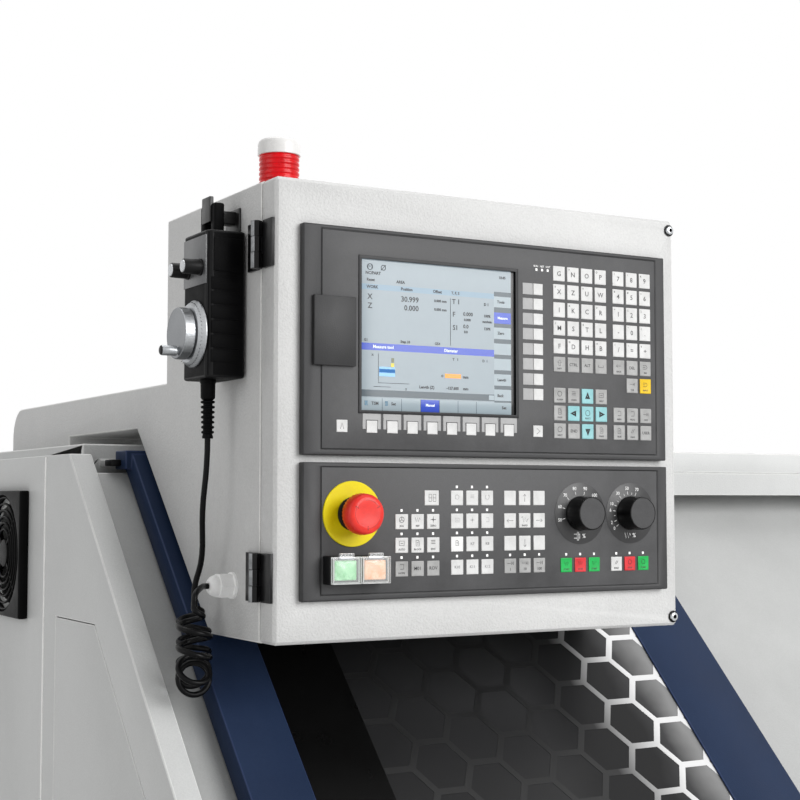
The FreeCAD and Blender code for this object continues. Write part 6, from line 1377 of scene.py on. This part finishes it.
# The pendant's curly cord is black thermoplastic rubber with a glossy skin. It hangs straight
# from the strain relief, and its curls swing down and back up to the gland in the console.
cord_jacket = finish("cord_jacket", "#060607", "#030304", cloud=0.02, grain=0.0006,
                     rough=0.3, spread=0.12, relief=0.08, coat=0.0, specular=0.12)
cord_diameter = 0.0056
lead_points = [(-0.901, -0.351, 1.537), (-0.901, -0.351, 1.512), (-0.905, -0.348, 1.470),
               (-0.896, -0.331, 1.425), (-0.901, -0.322, 1.400), (-0.901, -0.322, 1.385)]
curl_top = Vector((-0.901, -0.322, 1.385))
swing_side = Vector((-0.021, -0.052, 0)).normalized()
curl_radius = 0.0145
curl_turns = 9
curl_drop = 0.042
bow_radius = 0.028
bow = math.pi * bow_radius
centre_line = 2 * curl_drop + bow
route = [Vector(point) for point in lead_points]
steps = curl_turns * 14
for step in range(1, steps):
    share = step / steps
    run = share * centre_line
    if run < curl_drop:
        place = curl_top - Vector((0, 0, run))
        heading = Vector((0, 0, -1))
    elif run < curl_drop + bow:
        turn = (run - curl_drop) / bow_radius
        place = (curl_top - Vector((0, 0, curl_drop))
                 + swing_side * (bow_radius - bow_radius * math.cos(turn))
                 - Vector((0, 0, bow_radius * math.sin(turn))))
        heading = swing_side * math.sin(turn) - Vector((0, 0, math.cos(turn)))
    else:
        place = (curl_top + swing_side * 2 * bow_radius
                 - Vector((0, 0, curl_drop - (run - curl_drop - bow))))
        heading = Vector((0, 0, 1))
    across = swing_side.cross(Vector((0, 0, 1)))
    inward = across.cross(heading)
    opening = min(1.0, share * curl_turns, (1 - share) * curl_turns)
    radius = curl_radius * opening * opening * (3 - 2 * opening)
    angle = 2 * math.pi * curl_turns * share
    route.append(place + across * radius * math.cos(angle) + inward * radius * math.sin(angle))
curl_end = curl_top + swing_side * 2 * bow_radius
route += [curl_end, curl_end + Vector((0, 0, 0.010)),
          Vector((-0.9085, -0.3585, 1.4000)), Vector((-0.9040, -0.3520, 1.4000)),
          Vector((-0.8995, -0.3520, 1.4000))]
cord_curve = bpy.data.curves.new("pendant_cord", "CURVE")
cord_curve.dimensions = "3D"
cord_curve.bevel_depth = cord_diameter / 2
cord_curve.bevel_resolution = 3
cord_curve.resolution_u = 4
spline = cord_curve.splines.new("NURBS")
spline.points.add(len(route) - 1)
for point, place in zip(spline.points, route):
    point.co = (*place, 1)
spline.order_u = 3
spline.use_endpoint_u = True
cord_curve.use_fill_caps = True
cord_curve.materials.append(cord_jacket)
pendant_cord = bpy.data.objects.new("pendant_cord", cord_curve)
bpy.context.collection.objects.link(pendant_cord)
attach(pendant_cord, "machine")
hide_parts("cord")

# The cord ends in a nylon gland screwed into the console's side: a flange, a hexagon and a
# domed cap nut, all white.
# The white nylon glows a little: painted light that brightens the gland.
gland_white_glow = finish("gland_white_glow", "#fafaf9", "#efefee", cloud=0.01, grain=0.001, speckle=0.1,
                     rough=0.35, spread=0.1, relief=0.06, glow=0.08)
gland_y, gland_z = -0.352, 1.400
gland_flange = turned("gland_flange", (-0.8749, gland_y, gland_z), (-1, 0, 0),
                      [(0, 0.0125), (0.0022, 0.0125), (0.0030, 0.0117)], [gland_white_glow],
                      "machine", sides=40)
gland_nut = turned("gland_hexagon", (-0.8778, gland_y, gland_z), (-1, 0, 0),
                   [(0, 0.0118), (0.0006, 0.0124), (0.0124, 0.0124), (0.0130, 0.0118)],
                   [gland_white_glow], "machine", sides=6)
gland_cap = turned("gland_cap", (-0.8906, gland_y, gland_z), (-1, 0, 0),
                   [(0, 0.0098), (0.0035, 0.0098), (0.0065, 0.0086), (0.0085, 0.0066),
                    (0.0092, 0.0044), (0.0082, 0.0030)], [gland_white_glow], "machine",
                   sides=32)
cable_gland = joined("cable_gland_nylon", [gland_cap, gland_nut, gland_flange], "machine")
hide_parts("cable_gland")

# The strain relief is one black rubber moulding: a smooth collar under the pendant, then
# seven ribs on a tapering sleeve that stiffens the cord.
relief_rubber = finish("relief_rubber", "#060607", "#040405", cloud=0.01, grain=0.0008,
                       speckle=0.3, rough=0.5, spread=0.12, relief=0.12, specular=0.07)
profile = [(0, 0.0076), (0.003, 0.0076), (0.0036, 0.0070), (0.017, 0.0068), (0.0185, 0.0056)]
for rib in range(7):
    start = 0.0195 + rib * 0.0047
    wide_rib = 0.0067 - 0.00012 * rib
    profile += [(start, 0.0044), (start + 0.0004, wide_rib - 0.0005), (start + 0.0010, wide_rib),
                (start + 0.0020, wide_rib), (start + 0.0026, wide_rib - 0.0005),
                (start + 0.0030, 0.0044)]
profile += [(0.0535, 0.0052), (0.0550, 0.0050), (0.0550, 0.0030)]
relief = turned("cord_strain_relief", (-0.901, -0.351, 1.592), (0, 0, -1), profile,
                [relief_rubber], "machine", sides=28)
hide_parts("strain_relief")

# The hand pendant is a black moulded case of two halves. It has a raised thumb pad and five
# grip grooves on its front side, a bare grey plate on its face and a bail that hooks up.
pendant_black = finish("pendant_black", "#060607", "#040405", cloud=0.03, grain=0.0011,
                       speckle=0.35, rough=0.55, spread=0.14, relief=0.16, specular=0.07)
# The case's rounded edges take a lighter black: a painted highlight.
pendant_edge = finish("pendant_edge", "#161617", "#0e0e0f", cloud=0.01, grain=0.001,
                      speckle=0.35, rough=0.4, spread=0.14, relief=0.1, specular=0.14)
from_solid("pendant_housing", "pendant_case", "machine", "pendant_plastic",
           [pendant_black, pendant_edge], rounding=0.0022, steps=3, clamp=True)
case_left, case_right, case_front = -0.915, -0.877, -0.381
grip_parts = [bar("pendant_pad", (case_left + 0.006, case_front - 0.0009, 1.6905),
                  (case_right - 0.003, case_front + 0.002, 1.7215), [pendant_black], "machine",
                  rounding=0.0007, steps=3)]
for number in range(6):
    low = 1.6060 + number * 0.0135
    grip_parts.append(bar("pendant_grip", (case_left + 0.004, case_front - 0.0006, low),
                          (case_right - 0.006, case_front + 0.002, low + 0.0118),
                          [pendant_black], "machine", rounding=0.0005))
joined("pendant_grip_pads", grip_parts, "machine")
plate_grey = finish("plate_grey", "#6e6f70", "#555658", cloud=0.02, grain=0.001, speckle=0.3,
                    rough=0.35, spread=0.15, relief=0.06, metallic=0.3)
bar("pendant_face_plate", (case_left - 0.0006, -0.3775, 1.6790),
    (case_left + 0.001, -0.3245, 1.7245), [plate_grey], "machine",
    rounding=0.0003)

# Two selector switches stand on the pendant's face and turn on shafts of their own: plain
# black moulded caps with silver end discs.
selector_silver = metal("selector_silver", "#c9cbcd", "#9fa2a5", lines=1500, rough=0.2)
switch_face, selector_z = -0.9153, 1.695
for name, node, body, y in (("axis_selector_cap", "axis_selector", "axis_knob", -0.366),
                            ("step_selector_cap", "step_selector", "step_knob", -0.336)):
    cap = turned(name, (switch_face, y, selector_z), (-1, 0, 0),
                 [(0, 0.0080), (0.002, 0.0080), (0.0024, 0.0073), (0.0170, 0.0070),
                  (0.0178, 0.0066), (0.0180, 0.0058), (0.0186, 0.0056), (0.0190, 0.0036)],
                 [black_plastic, selector_silver], body, sides=24)
    give(cap, 1, lambda c, n: c.x < -0.93325)
    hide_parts(node)

# The pulse wheel is turned aluminium: a graduated bevelled ring, a knurled rim and a flat
# satin face, with a small bright crank that has a dark end.
wheel_satin = metal("wheel_satin", "#97999b", "#7e8083", lines=900, rough=0.42)
wheel_bright = metal("wheel_bright", "#b9bbbd", "#939699", lines=1200, rough=0.3)
wheel_y, wheel_z = -0.351, 1.634
wheel = turned("pulse_wheel", (switch_face, wheel_y, wheel_z), (-1, 0, 0),
               [(0, 0.0315), (0.0014, 0.0315), (0.0020, 0.0311), (0.0070, 0.0268),
                (0.0070, 0.0205), (0.0082, 0.0205), (0.0082, 0.0236), (0.0088, 0.0242),
                (0.0172, 0.0242), (0.0179, 0.0236), (0.0182, 0.0226), (0.0179, 0.0218),
                (0.0179, 0.0100)],
               [wheel_satin, wheel_bright], "handwheel", sides=90)
give(wheel, 1, lambda c, n: n.x > -0.8 or c.x > -0.925)
fluted(wheel, lambda p: in_flute(p.z - wheel_z, p.y - wheel_y, 8) and -0.9326 < p.x < -0.9238
       and math.hypot(p.z - wheel_z, p.y - wheel_y) > 0.0240,
       (1, 0.955, 0.955), (0, wheel_y, wheel_z))
ticks = []
for number in range(50):
    turn = math.radians(7.2 * number)
    inner = 0.0287 if number % 5 else 0.0277
    tick = bar("tick", (-0.0002, -0.00025, inner), (0.0002, 0.00025, 0.0308), [black_plastic],
               "handwheel", rounding=0.00005, steps=1)
    tick.rotation_euler = (0, math.radians(-41), 0)
    settle()
    edit_all()
    middle = sum((point.co for point in tick.data.vertices), Vector()) / len(tick.data.vertices)
    bpy.ops.transform.translate(value=(-0.9197 - middle.x, -middle.y, 0.0292 - middle.z))
    leave_edit()
    tick.rotation_euler = (turn, 0, 0)
    tick.location = (0, wheel_y, wheel_z)
    settle()
    ticks.append(tick)
joined("pulse_wheel_graduation", ticks, "handwheel")
crank = turned("pulse_wheel_crank", (-0.9328, -0.3570, 1.6170), (-1, 0, 0),
               [(0, 0.0042), (0.0012, 0.0042), (0.0014, 0.0034), (0.0024, 0.0034),
                (0.0026, 0.0044), (0.0030, 0.0048), (0.0166, 0.0048), (0.0172, 0.0044),
                (0.0176, 0.0044), (0.0184, 0.0032)],
               [wheel_bright, black_plastic], "handwheel", sides=24)
give(crank, 1, lambda c, n: c.x < -0.9497)
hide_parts("pendant_handwheel")

# The bail is a thick moulded loop on top of the case. It hangs on a black moulded hook: a base
# plate on the console's side, a stout arm and an upturned lip that keeps the bail on.
hook_black = finish("hook_black", "#0a0a0b", "#111112", cloud=0.01, grain=0.001, speckle=0.3,
                    rough=0.36, spread=0.14, relief=0.1)
for rear in (-0.3680, -0.3435):
    bar("bail_leg", (-0.9030, rear, 1.7275), (-0.8925, rear + 0.0095, 1.7574), [pendant_black],
        "machine", rounding=0.0022, steps=3)
hook_parts = [bar("hook", low, high, [hook_black], "machine", rounding=0.0009,
                  steps=3)
              for low, high in (((-0.8772, -0.3660, 1.7312), (-0.8749, -0.3340, 1.7545)),
                                ((-0.9040, -0.3580, 1.7395), (-0.8760, -0.3442, 1.7518)),
                                ((-0.9049, -0.3605, 1.7395), (-0.9006, -0.3415, 1.7640)))]
hook = joined("pendant_wall_hook", hook_parts, "machine")
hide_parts("pendant_hook")

# The beacon on the console is a red base ring, a ribbed red lens and a white cap with rounded
# shoulders, all plastic and stacked on one axis.
beacon_white = finish("beacon_white", "#f1f0ee", "#e6e5e3", cloud=0.02, grain=0.001, speckle=0.08,
                      rough=0.3, spread=0.08, relief=0.04, coat=0.15)
beacon_red = finish("beacon_red", "#de0212", "#be010c", cloud=0.012, grain=0.002, speckle=0.2,
                    rough=0.28, spread=0.08, relief=0.04, coat=0.12, glow=0.12, specular=0.25)
beacon_x, beacon_y = -0.795, -0.280
beacon_ring = turned("beacon_base_ring", (beacon_x, beacon_y, 1.7716), (0, 0, 1),
                     [(0, 0.0215), (0.0006, 0.0220), (0.0108, 0.0220), (0.0118, 0.0214),
                      (0.0120, 0.0205)], [beacon_red], "machine", sides=56)
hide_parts("lamp_base_ring")
profile = [(0, 0.0203)]
for rib in range(9):
    start = 0.0004 + rib * 0.0050
    profile += [(start + 0.0008, 0.0205), (start + 0.0026, 0.0205), (start + 0.0033, 0.0193),
                (start + 0.0043, 0.0193)]
profile += [(0.0458, 0.0205), (0.0460, 0.0200)]
beacon_lens = turned("beacon_ribbed_lens", (beacon_x, beacon_y, 1.7836), (0, 0, 1), profile,
                     [beacon_red], "machine", sides=56)
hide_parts("lamp_lens_drum")
beacon_cap = turned("beacon_cap", (beacon_x, beacon_y, 1.8296), (0, 0, 1),
                    [(0, 0.0216), (0.0004, 0.0220), (0.0112, 0.0218), (0.0138, 0.0210),
                     (0.0156, 0.0194), (0.0166, 0.0170), (0.0170, 0.0140), (0.0170, 0.0100)],
                    [beacon_white], "machine", sides=56)
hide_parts("lamp_cap_dome")

bpy.context.scene.view_settings.view_transform = "Standard"
